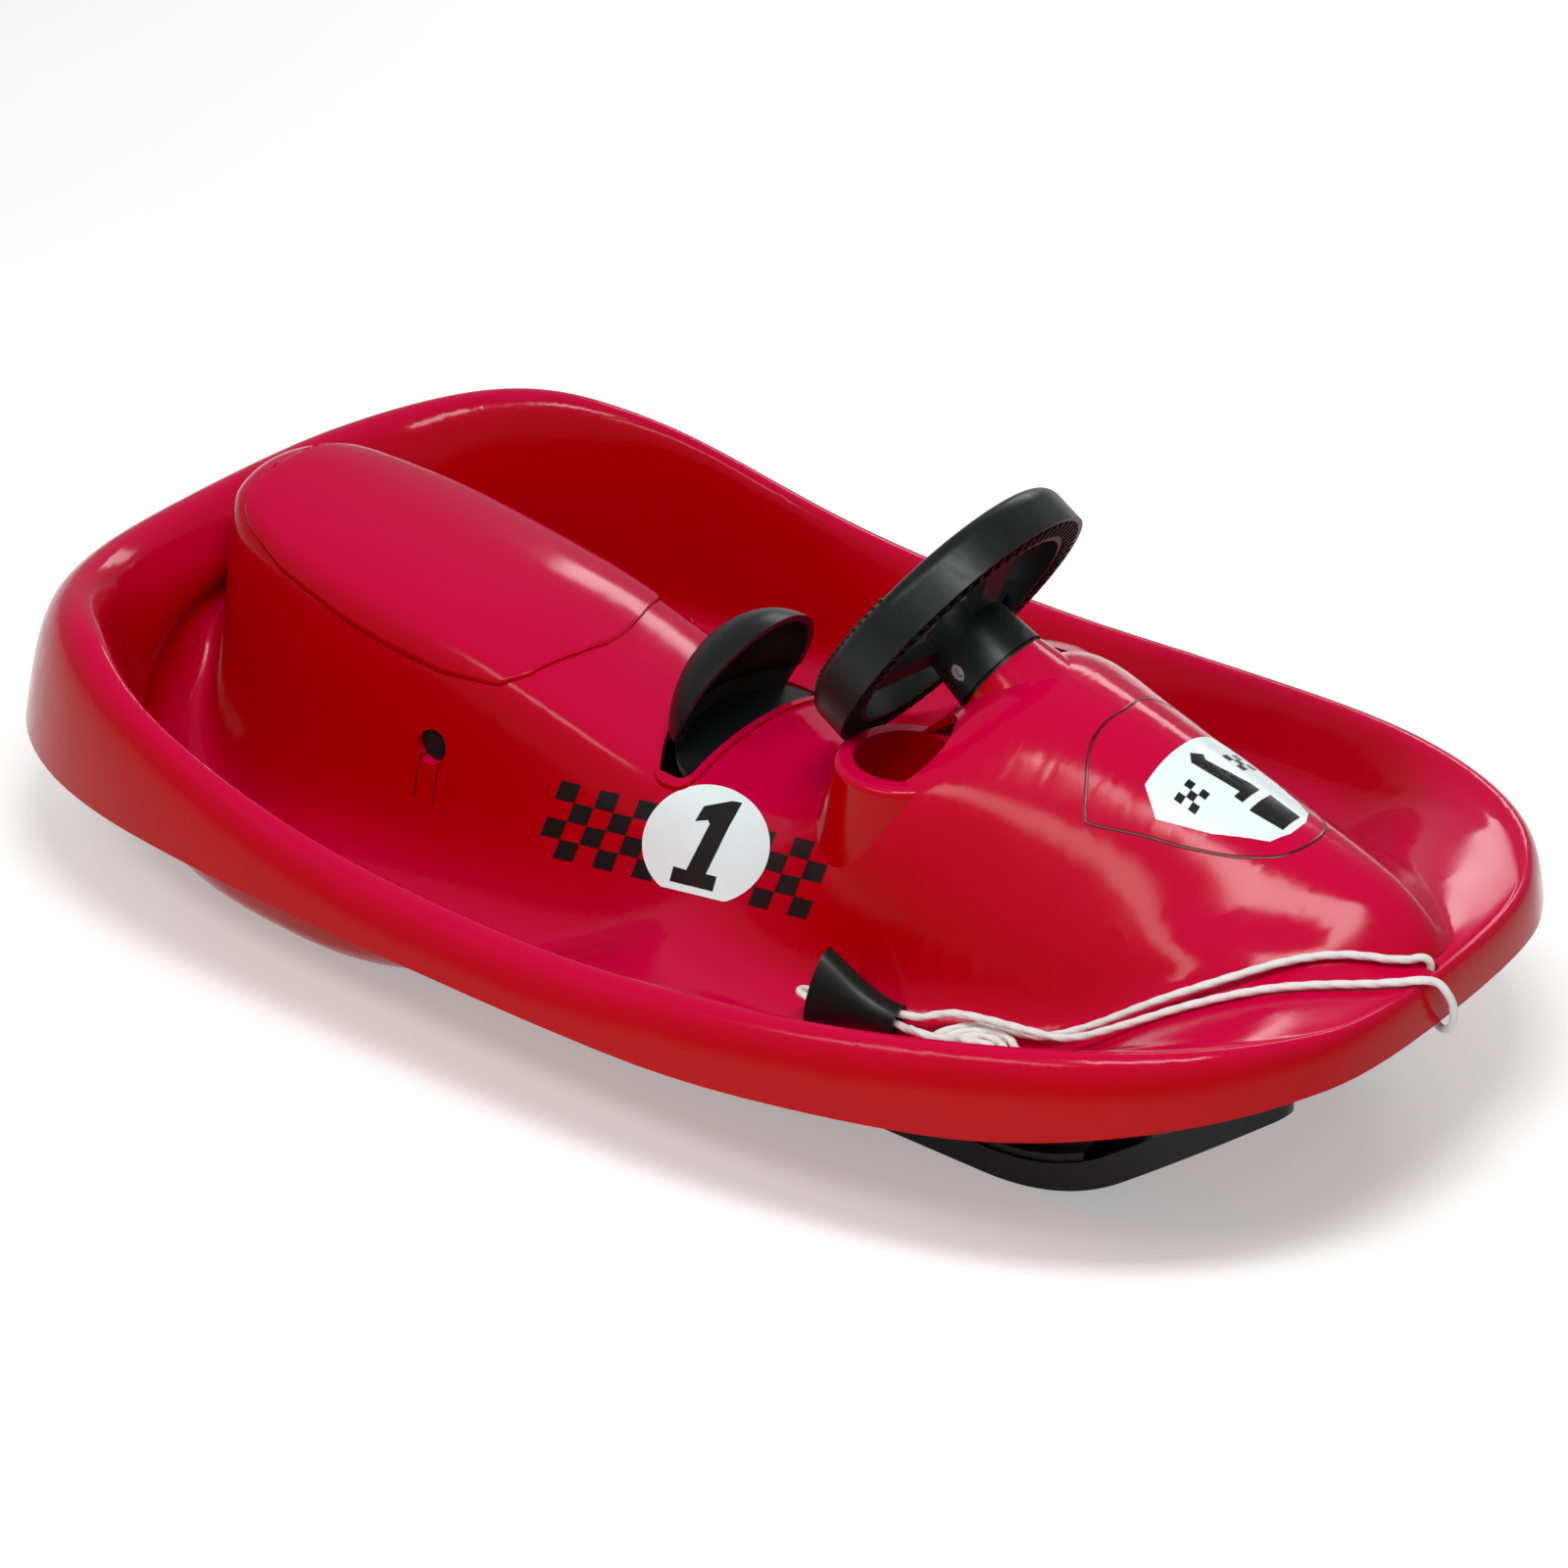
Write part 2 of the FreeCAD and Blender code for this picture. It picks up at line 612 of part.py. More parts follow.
def foot_bearing():
    plate = block(-FOOT_RADIUS, FOOT_RADIUS, -FOOT_REACH, FOOT_REACH, FOOT_TOP - FOOT_PLATE, FOOT_TOP)
    corners = [e for e in plate.Edges if e.BoundBox.ZLength > 1]
    body = plate.makeFillet(12.0, corners).fuse(disc(FOOT_RADIUS, FOOT_TOP - FOOT_LENGTH, FOOT_TOP))
    body = body.cut(disc(COLUMN_RADIUS + RUNNING_FIT, FOOT_TOP - FOOT_LENGTH - 1, FOOT_TOP + 1))
    for y in (FOOT_SCREW_Y, -FOOT_SCREW_Y):
        body = body.cut(disc(SCREW_RADIUS, FOOT_TOP - FOOT_PLATE - 1, FOOT_TOP + 1, 0, y))
    return body


def foot_screws():
    low = FOOT_TOP - FOOT_PLATE
    screws = []
    for y in (FOOT_SCREW_Y, -FOOT_SCREW_Y):
        head = disc(SCREW_HEAD_RADIUS, low - SCREW_HEAD, low, 0, y)
        screws.append(head.fuse(disc(SCREW_RADIUS, low - 1, FOOT_TOP + SCREW_DEPTH - 1, 0, y)))
    return Part.makeCompound(screws)


def column_clip():
    high = FOOT_TOP - FOOT_LENGTH - GAP
    clip = ring(CLIP_RADIUS, COLUMN_RADIUS, high - CLIP_THICK, high)
    return clip.cut(block(0, CLIP_RADIUS + 1, -3, 3, high - CLIP_THICK - 1, high + 1))


def crank_arm():
    low = CRANK_TOP - CRANK_THICK
    arm = block(-CRANK_RADIUS, 0, -8, 8, low, CRANK_TOP).fuse(disc(CRANK_COLLAR_RADIUS, low, CRANK_TOP + 4))
    arm = arm.fuse(disc(9, low, CRANK_TOP, -CRANK_RADIUS, 0))
    arm = arm.fuse(disc(FINGER_RADIUS, low - FINGER_LENGTH, low + 1, -CRANK_RADIUS, 0))
    return arm.cut(disc(COLUMN_RADIUS, low - 1, CRANK_TOP + 10))


# Tie rod: a bar with a raised middle, one slot for the crank finger and one for each arm pin

def tie_rod():
    h = TIE_THICK / 2
    right = [(TIE_FLAT_Y, TIE_CENTRE_Z), (TIE_BEND_Y, TIE_END_Z), (SKI_Y + 14, TIE_END_Z)]
    upper = [(y, z + h) for y, z in right]
    lower = [(y - 1.2 * h, z - h) for y, z in right[:2]] + [(right[2][0], right[2][1] - h)]
    loop = [(-y, z) for y, z in upper[::-1]] + upper + lower[::-1] + [(-y, z) for y, z in lower]
    bar = prism([(TIE_X - TIE_WIDTH / 2, y, z) for y, z in loop], (TIE_WIDTH, 0, 0))
    tilt = math.radians(COLUMN_TILT)
    shift = CRANK_RADIUS * (1 - math.cos(math.radians(STEER_LIMIT))) / math.cos(tilt)
    lean = h * math.tan(tilt) + FINGER_RADIUS / math.cos(tilt) + 2 * PIN_PLAY
    rear = TIE_X - lean
    front = TIE_X + lean + shift
    wide = FINGER_RADIUS + PIN_PLAY
    pad = block(rear - 8, front + 8, -wide - 9, wide + 9, TIE_CENTRE_Z - h, TIE_CENTRE_Z + h)
    pad = pad.makeFillet(8.0, [e for e in pad.Edges if e.BoundBox.ZLength > 1])
    bar = bar.fuse(pad).cut(block(rear, front, -wide, wide, TIE_CENTRE_Z - 20, TIE_CENTRE_Z + 20))
    ski_turn = math.asin(CRANK_RADIUS * math.sin(math.radians(STEER_LIMIT)) / ARM_LENGTH)
    run = ARM_LENGTH * (1 - math.cos(ski_turn))
    for y in (SKI_Y, -SKI_Y):
        play = ARM_PIN_RADIUS + PIN_PLAY
        slot = block(TIE_X, TIE_X + run, y - play, y + play, TIE_END_Z - 20, TIE_END_Z + 20)
        for x in (TIE_X, TIE_X + run):
            slot = slot.fuse(disc(play, TIE_END_Z - 20, TIE_END_Z + 20, x, y))
        bar = bar.cut(slot)
    return bar


# Skis and what turns them

def ski_line(lift, y):
    rise = math.radians(SKI_TIP_RISE)
    r = SKI_BEND_RADIUS - lift
    mid = V(SKI_BEND_X + r * math.sin(rise / 2), y, SKI_BEND_RADIUS - r * math.cos(rise / 2))
    end = V(SKI_BEND_X + r * math.sin(rise), y, SKI_BEND_RADIUS - r * math.cos(rise))
    left = (SKI_TIP_X - end.x) / math.cos(rise)
    return V(SKI_BEND_X, y, lift), mid, end, V(SKI_TIP_X, y, end.z + left * math.sin(rise))


def ski_band(low, high, rear, half):
    bend, mid, end, tip = ski_line(low, SKI_Y - half)
    bend_up, mid_up, end_up, tip_up = ski_line(high, SKI_Y - half)
    heel = V(rear, SKI_Y - half, low)
    heel_up = V(rear, SKI_Y - half, high)
    edges = [Part.makeLine(heel, bend), Part.Arc(bend, mid, end).toShape(), Part.makeLine(end, tip),
             Part.makeLine(tip, tip_up), Part.makeLine(tip_up, end_up),
             Part.Arc(end_up, mid_up, bend_up).toShape(), Part.makeLine(bend_up, heel_up),
             Part.makeLine(heel_up, heel)]
    return Part.Face(Part.Wire(edges)).extrude(V(0, 2 * half, 0))


def ski():
    w = SKI_HALF_WIDTH
    rear = SKI_REAR_X
    body = ski_band(0.0, SKI_THICK, rear, w)
    # heel lifted at its lower edge
    side = SKI_Y - w
    body = body.cut(prism([(rear, side, 0), (rear + 20, side, 0), (rear, side, 8)], (0, 2 * w, 0)))
    # plan outline: rounded heel, straight sides, pointed and rounded tip
    taper = SKI_BEND_X + 60
    nib = 9.0
    tip = SKI_TIP_X
    plan = [Part.Arc(V(rear + 22, -w, 0), V(rear, 0, 0), V(rear + 22, w, 0)).toShape(),
            Part.makeLine(V(rear + 22, w, 0), V(taper, w, 0)),
            Part.Arc(V(taper, w, 0), V(0.5 * (taper + tip), 0.8 * w, 0), V(tip - 6, nib, 0)).toShape(),
            Part.Arc(V(tip - 6, nib, 0), V(tip, 0, 0), V(tip - 6, -nib, 0)).toShape(),
            Part.Arc(V(tip - 6, -nib, 0), V(0.5 * (taper + tip), -0.8 * w, 0), V(taper, -w, 0)).toShape(),
            Part.makeLine(V(taper, -w, 0), V(rear + 22, -w, 0))]
    mask = Part.Face(Part.Wire(plan)).extrude(V(0, 0, 300))
    mask.translate(V(0, SKI_Y, 0))
    body = body.common(mask)
    # two guide grooves in the running face
    for y in (SKI_Y - w / 2, SKI_Y + w / 2):
        start = V(rear + 40, y, 0)
        body = body.cut(Part.makeCylinder(SKI_GROOVE, SKI_BEND_X - rear - 70, start, V(1, 0, 0)))
    for x, y in bracket_screw_places():
        body = body.cut(disc(SCREW_RADIUS, SKI_THICK + BRACKET_PLATE - SCREW_DEPTH, SKI_THICK + 1, x, y))
    return body


def bracket_rear():
    return KINGPIN_X + KINGPIN_RADIUS + HUB_WALL - BRACKET_LENGTH


def bracket_screw_places():
    y = BRACKET_WIDTH / 2 + BRACKET_FLANGE / 2
    rear = bracket_rear() + BRACKET_SCREW_INSET
    return [(x, SKI_Y + side * y) for x in (rear, SKI_BEND_X - BRACKET_SCREW_INSET) for side in (-1, 1)]


def ski_bracket():
    top = BOSS_FOOT_Z - GAP
    low = top - BRACKET_HUB_HEIGHT
    plate_low = low + 2
    t = BRACKET_PLATE
    hub = KINGPIN_RADIUS + HUB_WALL
    x0 = bracket_rear()
    x1 = KINGPIN_X + hub
    half = BRACKET_WIDTH / 2
    # foot that follows the ski's upper face, then two cheeks, deck, hub and arm
    foot = ski_band(SKI_THICK, SKI_THICK + t, x0, half + BRACKET_FLANGE)
    body = foot.common(block(x0, x1, SKI_Y - 2 * half, SKI_Y + 2 * half, 0, low))
    for y in (SKI_Y - half, SKI_Y + half - t):
        high = plate_low + t
        cheek = prism([(x0 + 24, y, 0), (x1, y, 0), (x1, y, high), (x0 + 40, y, high)], (0, t, 0))
        body = body.fuse(cheek.cut(ski_band(-SKI_TIP_X, SKI_THICK, 0.0, half)))
    body = body.fuse(block(x0 + 40, x1, SKI_Y - half, SKI_Y + half, plate_low, plate_low + t))
    body = body.fuse(disc(hub, low, top, KINGPIN_X, SKI_Y))
    arm_low = TIE_END_Z - TIE_THICK / 2 - GAP - t
    body = body.fuse(block(TIE_X, KINGPIN_X, SKI_Y - 8, SKI_Y + 8, arm_low, arm_low + t))
    body = body.fuse(disc(9, arm_low, arm_low + t, TIE_X, SKI_Y))
    pin_top = TIE_END_Z + TIE_THICK / 2 + 4
    body = body.fuse(disc(ARM_PIN_RADIUS, arm_low, pin_top, TIE_X, SKI_Y))
    body = body.cut(disc(KINGPIN_RADIUS + RUNNING_FIT, low - 1, top + 1, KINGPIN_X, SKI_Y))
    for x, y in bracket_screw_places():
        body = body.cut(disc(SCREW_RADIUS, 0, SKI_THICK + t + 1, x, y))
    return body


def bracket_screws():
    high = SKI_THICK + BRACKET_PLATE
    screws = []
    for x, y in bracket_screw_places():
        head = disc(SCREW_HEAD_RADIUS - 1, high, high + SCREW_HEAD, x, y)
        screws.append(head.fuse(disc(SCREW_RADIUS, high - SCREW_DEPTH, high + 1, x, y)))
    return Part.makeCompound(screws)


def kingpin():
    low = BOSS_FOOT_Z - 2 * GAP - BRACKET_HUB_HEIGHT
    pin = disc(KINGPIN_RADIUS, low - 1, BOSS_FOOT_Z + KINGPIN_GRIP, KINGPIN_X, SKI_Y)
    return pin.fuse(disc(KINGPIN_HEAD_RADIUS, low - KINGPIN_HEAD, low, KINGPIN_X, SKI_Y))


# Brake

def polar(radius, angle):
    a = math.radians(angle)
    return AXLE_X + radius * math.cos(a), AXLE_Z + radius * math.sin(a)


def turned_band(inner, outer, start, end, half):
    band = Part.makeCylinder(outer, 2 * half, V(AXLE_X, half, AXLE_Z), V(0, -1, 0), 360)
    band = band.cut(Part.makeCylinder(inner, 4 * half, V(AXLE_X, 2 * half, AXLE_Z), V(0, -1, 0), 360))
    reach = 2 * outer
    wedge = [polar(0, 0), polar(reach, start), polar(reach, end)]
    return band.common(prism([(x, -half, z) for x, z in wedge], (0, 2 * half, 0)))


def stretched(body, depth, half, height):
    m = FreeCAD.Matrix()
    m.scale(depth, half, height)
    return body.transformGeometry(m)


def dome(inset):
    return stretched(Part.makeSphere(1.0), HOOD_DEPTH - inset, HOOD_HALF - inset, HOOD_HEIGHT - inset)


def hood_post(inset, low):
    post = stretched(Part.makeCylinder(1.0, 1.0), HOOD_DEPTH - inset, HOOD_HALF - inset, HOOD_HEIGHT)
    post.translate(V(0, 0, 1 - HOOD_HEIGHT))
    return post.cut(under_hood(low))


def under_hood(lift):
    reach = 4 * HOOD_HALF
    under = block(-reach, reach, -reach, reach, -2 * reach, 0)
    under.rotate(V(0, 0, 0), V(0, 1, 0), HOOD_SKIRT_SLOPE)
    under.translate(V(HOOD_SKIRT_INSET - HOOD_DEPTH, 0, lift - HOOD_SKIRT_REAR))
    return under


def hood():
    reach = 4 * HOOD_HALF
    upper = block(-reach, reach, -reach, reach, 0, reach)
    ahead = block(0, reach, -reach, reach, -reach, reach)
    shell = dome(0).common(upper).cut(dome(HOOD_WALL))
    inset = HOOD_SKIRT_INSET
    skirt = hood_post(inset, 0).cut(hood_post(inset + HOOD_WALL, 0))
    mouth = ahead.copy()
    mouth.rotate(V(0, 0, 0), V(0, 1, 0), HOOD_MOUTH_LEAN)
    mouth.translate(V(-HOOD_MOUTH_BACK, 0, 0))
    shell = shell.fuse(skirt).cut(mouth)
    # sloped floor, which reaches further forward than the mouth
    ahead.translate(V(-HOOD_FLOOR_BACK - HOOD_FORWARD, 0, 0))
    floor = hood_post(inset, 0).common(under_hood(HOOD_FLOOR)).cut(ahead)
    return shell.fuse(floor)


def brake_lever():
    half = LEVER_NECK_HALF
    seat = V(SLOT_FRONT_X + HOOD_FORWARD, 0, HOOD_FOOT_Z)
    body = turned_band(LEVER_NECK_INNER, LEVER_NECK_OUTER, LEVER_ARM_ANGLE - 5, LEVER_NECK_ANGLE, half)
    body = body.common(under_hood(HOOD_FLOOR).translated(seat))
    body = body.fuse(hood().translated(seat))
    hx, hz = polar(LEVER_NECK_OUTER - 4, LEVER_ARM_ANGLE)
    nx, nz = -math.sin(math.radians(LEVER_ARM_ANGLE)), math.cos(math.radians(LEVER_ARM_ANGLE))
    arm = [(AXLE_X - nx * 13, AXLE_Z - nz * 13), (hx - nx * 9, hz - nz * 9), (hx + nx * 9, hz + nz * 9),
           (AXLE_X + nx * 13, AXLE_Z + nz * 13)]
    for y in (LEVER_ARM_Y, -LEVER_ARM_Y - LEVER_ARM_THICK):
        body = body.fuse(prism([(x, y, z) for x, z in arm], (0, LEVER_ARM_THICK, 0)))
    reach = LEVER_ARM_Y + LEVER_ARM_THICK
    body = body.fuse(axle_line(LEVER_HUB_RADIUS, -reach, reach))
    body = body.fuse(tail(0.0, TAIL_LENGTH, TAIL_THICK / 2, -TAIL_THICK / 2, TAIL_HALF))
    return body.cut(axle_line(AXLE_RADIUS, -2 * reach, 2 * reach))


def tail(start, end, above, below, half):
    a = math.radians(TAIL_ANGLE)
    along = (math.cos(a), math.sin(a))
    across = (math.sin(a), -math.cos(a))
    pts = [(start, above), (end, above), (end, below), (start, below)]
    loop = [(AXLE_X + r * along[0] + h * across[0], AXLE_Z + r * along[1] + h * across[1]) for r, h in pts]
    return prism([(x, -half, z) for x, z in loop], (0, 2 * half, 0))


def brake_claw():
    low = -TAIL_THICK / 2
    plate = tail(CLAW_START, CLAW_END, low, low - CLAW_THICK, CLAW_HALF)
    pitch = 2 * CLAW_HALF / CLAW_TEETH
    depth = 18.0
    for k in range(CLAW_TEETH - 1):
        y = -CLAW_HALF + (k + 1) * pitch
        notch = Part.makeBox(depth + 4, pitch * 0.45, 40, V(CLAW_END - depth, y - pitch * 0.225, -30))
        notch.rotate(V(0, 0, 0), V(0, 1, 0), -TAIL_ANGLE)
        notch.translate(V(AXLE_X, 0, AXLE_Z))
        plate = plate.cut(notch)
    for y in (-TAIL_HALF / 2, TAIL_HALF / 2):
        plate = plate.cut(rivet(y, RIVET_RADIUS, 40, -40))
    return plate


def rivet(y, radius, above, below):
    a = math.radians(TAIL_ANGLE)
    r = (CLAW_START + TAIL_LENGTH) / 2
    across = V(math.sin(a), 0, -math.cos(a))
    start = V(AXLE_X + r * math.cos(a), y, AXLE_Z + r * math.sin(a)) + across * below
    return Part.makeCylinder(radius, above - below, start, across)


def claw_rivets():
    low = -TAIL_THICK / 2 - CLAW_THICK
    rivets = []
    for y in (-TAIL_HALF / 2, TAIL_HALF / 2):
        body = rivet(y, RIVET_RADIUS, TAIL_THICK / 2, low).fuse(rivet(y, 2 * RIVET_RADIUS, low, low - 2))
        rivets.append(body)
    return Part.makeCompound(rivets)


# Tow rope and its handle

def height_at(fill, x, y):
    upright = Part.makeLine(V(x, y, 0), V(x, y, 300))
    return max(e.BoundBox.ZMax for e in upright.common(fill).Edges)


def on_skin(fill, route):
    return [V(x, y, height_at(fill, x, y) + lift) for x, y, lift in route]


def rounded(points):
    edges = []
    start = points[0]
    for before, corner, after in zip(points, points[1:], points[2:]):
        back = (before - corner).normalize()
        ahead = (after - corner).normalize()
        reach = 0.45 * min((before - corner).Length, (after - corner).Length)
        half = back.getAngle(ahead) / 2
        middle = (back + ahead).normalize()
        centre = corner + middle * (reach / math.cos(half))
        top = centre - middle * (reach * math.tan(half))
        enter = corner + back * reach
        leave = corner + ahead * reach
        edges.append(Part.makeLine(start, enter))
        edges.append(Part.Arc(enter, top, leave).toShape())
        start = leave
    edges.append(Part.makeLine(start, points[-1]))
    return edges


def hank_place(x, y, z):
    turn = FreeCAD.Rotation(V(0, 1, 0), -HANK_SLOPE)
    return HANK_CENTRE + turn.multVec(V(x, y, z))


def hank_arcs():
    arcs = []
    top = HANK_RADIUS
    for k in range(HANK_TURNS):
        outer = HANK_RADIUS - k * HANK_PITCH
        inner = outer - HANK_PITCH / 2
        low = -outer
        end = low + 2 * inner
        ends = [hank_place(0, y, 0) for y in (top, low, end)]
        arcs.append(Part.Arc(ends[0], hank_place(-outer, 0, 0), ends[1]).toShape())
        arcs.append(Part.Arc(ends[1], hank_place(inner, low + inner, 0), ends[2]).toShape())
        top = end
    return arcs, top


def handle_frame():
    along = (HANDLE_BACK - HANDLE_NECK).normalize()
    side = V(0, 0, 1).cross(along).normalize()
    turn = FreeCAD.Rotation(along, HANDLE_LEAN)
    return along, turn.multVec(side), turn.multVec(along.cross(side))


def handle_point(x, y, z):
    along, side, up = handle_frame()
    return HANDLE_NECK + along * x + side * y + up * z


def handle_oval(x, half_height, half_width):
    sides = 24
    loop = []
    for k in range(sides):
        a = 2 * math.pi * k / sides
        loop.append(handle_point(x, half_width * math.cos(a), half_height * math.sin(a)))
    curve = Part.BSplineCurve()
    curve.interpolate(loop, PeriodicFlag=True)
    return Part.Wire(curve.toShape())


def rope_handle():
    length = (HANDLE_BACK - HANDLE_NECK).Length
    neck = HANDLE_NECK_RADIUS
    tall = HANDLE_HEIGHT / 2
    wide = HANDLE_WIDTH / 2
    sizes = [(0.0, neck, neck), (0.3, neck + 1, neck + 1), (0.7, 0.72 * tall, 0.9 * wide),
             (1.0, tall, wide)]
    outer = Part.makeLoft([handle_oval(t * length, a, b) for t, a, b in sizes], True)
    w = HANDLE_WALL
    inner = [(t, a - w, b - w) for t, a, b in sizes]
    inner[0] = (-0.05, neck - w, neck - w)
    inner[-1] = (1.05, tall - w, wide - w)
    return outer.cut(Part.makeLoft([handle_oval(t * length, a, b) for t, a, b in inner], True))


def rope_line(fill):
    length = (HANDLE_BACK - HANDLE_NECK).Length
    pair = ROPE_RADIUS + 0.4
    # first end, inside the handle, then forward over the nose lip, up the hole and back to the hank
    route = [handle_point(0.45 * length, 0, pair), handle_point(-8, 0, pair)]
    route += [hank_place(-30, 19, HANK_LIFT), hank_place(-4, 22, HANK_LIFT), hank_place(24, 22, HANK_LIFT)]
    route += on_skin(fill, STRAND_OVER_LIP)
    route += [V(*p) for p in LIP_TURN]
    route += on_skin(fill, STRAND_FROM_HOLE)
    arcs, last = hank_arcs()
    route += [hank_place(14, HANK_RADIUS, 0), hank_place(0, HANK_RADIUS, 0)]
    lift = HANK_LIFT
    step = last * math.tan(math.pi / 8)
    tail = [hank_place(0, last, 0), hank_place(-step, last, 0), hank_place(-last, step, 0.25 * lift)]
    tail += [hank_place(-last, -step, 0.8 * lift), hank_place(-20, -12, lift + 1), hank_place(-40, -8, lift)]
    tail += [handle_point(-12, 0, -pair), handle_point(0.25 * length, 0, -pair)]
    back = length + 10
    tail += [handle_point(0.7 * length, -5, -6), handle_point(back, -7, -8), handle_point(back, 7, -8)]
    tail += [handle_point(0.7 * length, 5, -8)]
    return rounded(route) + arcs + rounded(tail)


def tow_rope(fill):
    edges = rope_line(fill)
    wire = Part.Wire(edges)
    start = edges[0]
    ahead = start.tangentAt(start.FirstParameter)
    profile = Part.Wire(Part.Circle(start.Vertexes[0].Point, ahead, ROPE_RADIUS).toShape())
    rope = wire.makePipeShell([profile], True, False)
    expected = math.pi * ROPE_RADIUS ** 2 * wire.Length
    print("rope length", round(wire.Length), "mm, volume share", round(rope.Volume / expected, 4))
    tight = min(e.Curve.Radius for e in edges if e.Curve.TypeId == "Part::GeomCircle")
    print("least bend radius", round(tight, 1), "mm")
    return rope


def main():
    os.makedirs("parts", exist_ok=True)
    hull, fill, side = build_hull()
    save("hull_shell", hull)
    save("steering_wheel", on_column(steering_wheel()))
    save("wheel_cap", on_column(wheel_cap()))
    save("hub_bolt", on_column(hub_bolt()))
    save("hub_nut", on_column(hub_nut()))
    save("steering_column", on_column(column_tube()))
    save("column_top_bush", on_column(top_bush()))
    save("column_foot_bearing", on_column(foot_bearing()))
    save("foot_bearing_screws", on_column(foot_screws()))
    save("column_clip", on_column(column_clip()))
    save("crank_arm", on_column(crank_arm()))
    save("tie_rod", tie_rod())
    for hand, fix in (("left", lambda s: s), ("right", mirrored)):
        save("ski_" + hand, fix(ski()))
        save("ski_bracket_" + hand, fix(ski_bracket()))
        save("bracket_screws_" + hand, fix(bracket_screws()))
        save("kingpin_" + hand, fix(kingpin()))
    lever = brake_lever()
    claw_hole = [rivet(y, RIVET_RADIUS, 40, -40) for y in (-TAIL_HALF / 2, TAIL_HALF / 2)]
    save("brake_lever", lever.cut(claw_hole))
    end = side - AXLE_RECESS
    save("brake_axle", axle_line(AXLE_RADIUS, -end, end))
    save("brake_claw", brake_claw())
    save("claw_rivets", claw_rivets())
    save("rope_handle", rope_handle())
    save("tow_rope", tow_rope(fill))


main()
for name, shape in SAVED.items():
    pieces = 4 if name.startswith("bracket_screws") else 2 if name.endswith(("screws", "rivets")) else 1
    if not shape.isValid() or len(shape.Solids) != pieces:
        print("check", name, shape.isValid(), len(shape.Solids))
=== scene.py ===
import json
import math

import bmesh
import bpy
from mathutils import Matrix, Vector
from mathutils.bvhtree import BVHTree


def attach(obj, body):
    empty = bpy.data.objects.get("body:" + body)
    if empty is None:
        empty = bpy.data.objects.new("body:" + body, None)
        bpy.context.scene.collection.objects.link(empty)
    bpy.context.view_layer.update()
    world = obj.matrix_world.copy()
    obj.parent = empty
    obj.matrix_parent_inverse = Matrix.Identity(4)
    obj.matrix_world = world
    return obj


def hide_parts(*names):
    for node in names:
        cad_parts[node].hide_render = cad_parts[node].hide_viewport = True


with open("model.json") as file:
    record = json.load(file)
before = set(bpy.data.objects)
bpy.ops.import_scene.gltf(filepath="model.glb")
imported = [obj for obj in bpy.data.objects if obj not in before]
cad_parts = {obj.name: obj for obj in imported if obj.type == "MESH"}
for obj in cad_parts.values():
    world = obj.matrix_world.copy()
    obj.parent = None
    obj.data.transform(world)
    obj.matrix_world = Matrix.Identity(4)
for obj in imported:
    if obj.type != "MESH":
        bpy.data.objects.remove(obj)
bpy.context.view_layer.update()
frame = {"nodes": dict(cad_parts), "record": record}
nodes = frame["nodes"]
scene = bpy.context.scene
MM = 0.001

# Camera, as the photograph was taken
CAMERA_AT = Vector((1.6763, -2.1279, 1.6659))
CAMERA_TO = Vector((0.0015, 0.0183, 0.0955))
LENS = 115.1
SENSOR_WIDTH = 36.0
FRAME_PX = 1600
FOCAL_PX = 5115.0

camera = bpy.data.objects.new("camera", bpy.data.cameras.new("camera"))
camera.data.lens = LENS
camera.data.sensor_width = SENSOR_WIDTH
camera.location = CAMERA_AT
camera.rotation_euler = (CAMERA_TO - CAMERA_AT).to_track_quat("-Z", "Y").to_euler()
scene.collection.objects.link(camera)
scene.camera = camera
LOOK = camera.rotation_euler.to_matrix()


def sight(u, v):
    """Direction from the camera through a place of the picture."""
    half = FRAME_PX / 2
    way = Vector(((u - half) / FOCAL_PX, (half - v) / FOCAL_PX, -1.0))
    return (LOOK @ way).normalized()


# Materials
NOISE_SPAN = (0.3, 0.7)
MIX_COLOURS = (6, 7)        # the mix node's own sockets for colours
MIX_RESULT = 2
PAINTED_LIGHT_NORMAL_Z = (0.3, 0.98)    # heights of the normal where the painted shade ends and the painted light begins
BLACK_ROUGH_SPAN = 0.1


def new_material(name):
    mat = bpy.data.materials.new(name)
    mat.use_nodes = True
    return mat, mat.node_tree, mat.node_tree.nodes["Principled BSDF"]


def noise(tree, scale, detail=2.0, stretch=None):
    place = tree.nodes.new("ShaderNodeTexCoord").outputs["Object"]
    if stretch:
        spread = tree.nodes.new("ShaderNodeMapping")
        spread.inputs["Scale"].default_value = stretch
        tree.links.new(place, spread.inputs["Vector"])
        place = spread.outputs["Vector"]
    tex = tree.nodes.new("ShaderNodeTexNoise")
    tex.inputs["Scale"].default_value = scale
    tex.inputs["Detail"].default_value = detail
    tree.links.new(place, tex.inputs["Vector"])
    return tex.outputs["Fac"]


def between(tree, value, low, high, to_low, to_high):
    span = tree.nodes.new("ShaderNodeMapRange")
    limits = {"From Min": low, "From Max": high, "To Min": to_low, "To Max": to_high}
    for key, number in limits.items():
        span.inputs[key].default_value = number
    tree.links.new(value, span.inputs["Value"])
    return span.outputs["Result"]


def blend_colour(tree, factor, first, second):
    mix = tree.nodes.new("ShaderNodeMix")
    mix.data_type = "RGBA"
    for socket, colour in zip(MIX_COLOURS, (first, second)):
        if isinstance(colour, tuple):
            mix.inputs[socket].default_value = (*colour, 1.0)
        else:
            tree.links.new(colour, mix.inputs[socket])
    tree.links.new(factor, mix.inputs[0])
    return mix.outputs[MIX_RESULT]


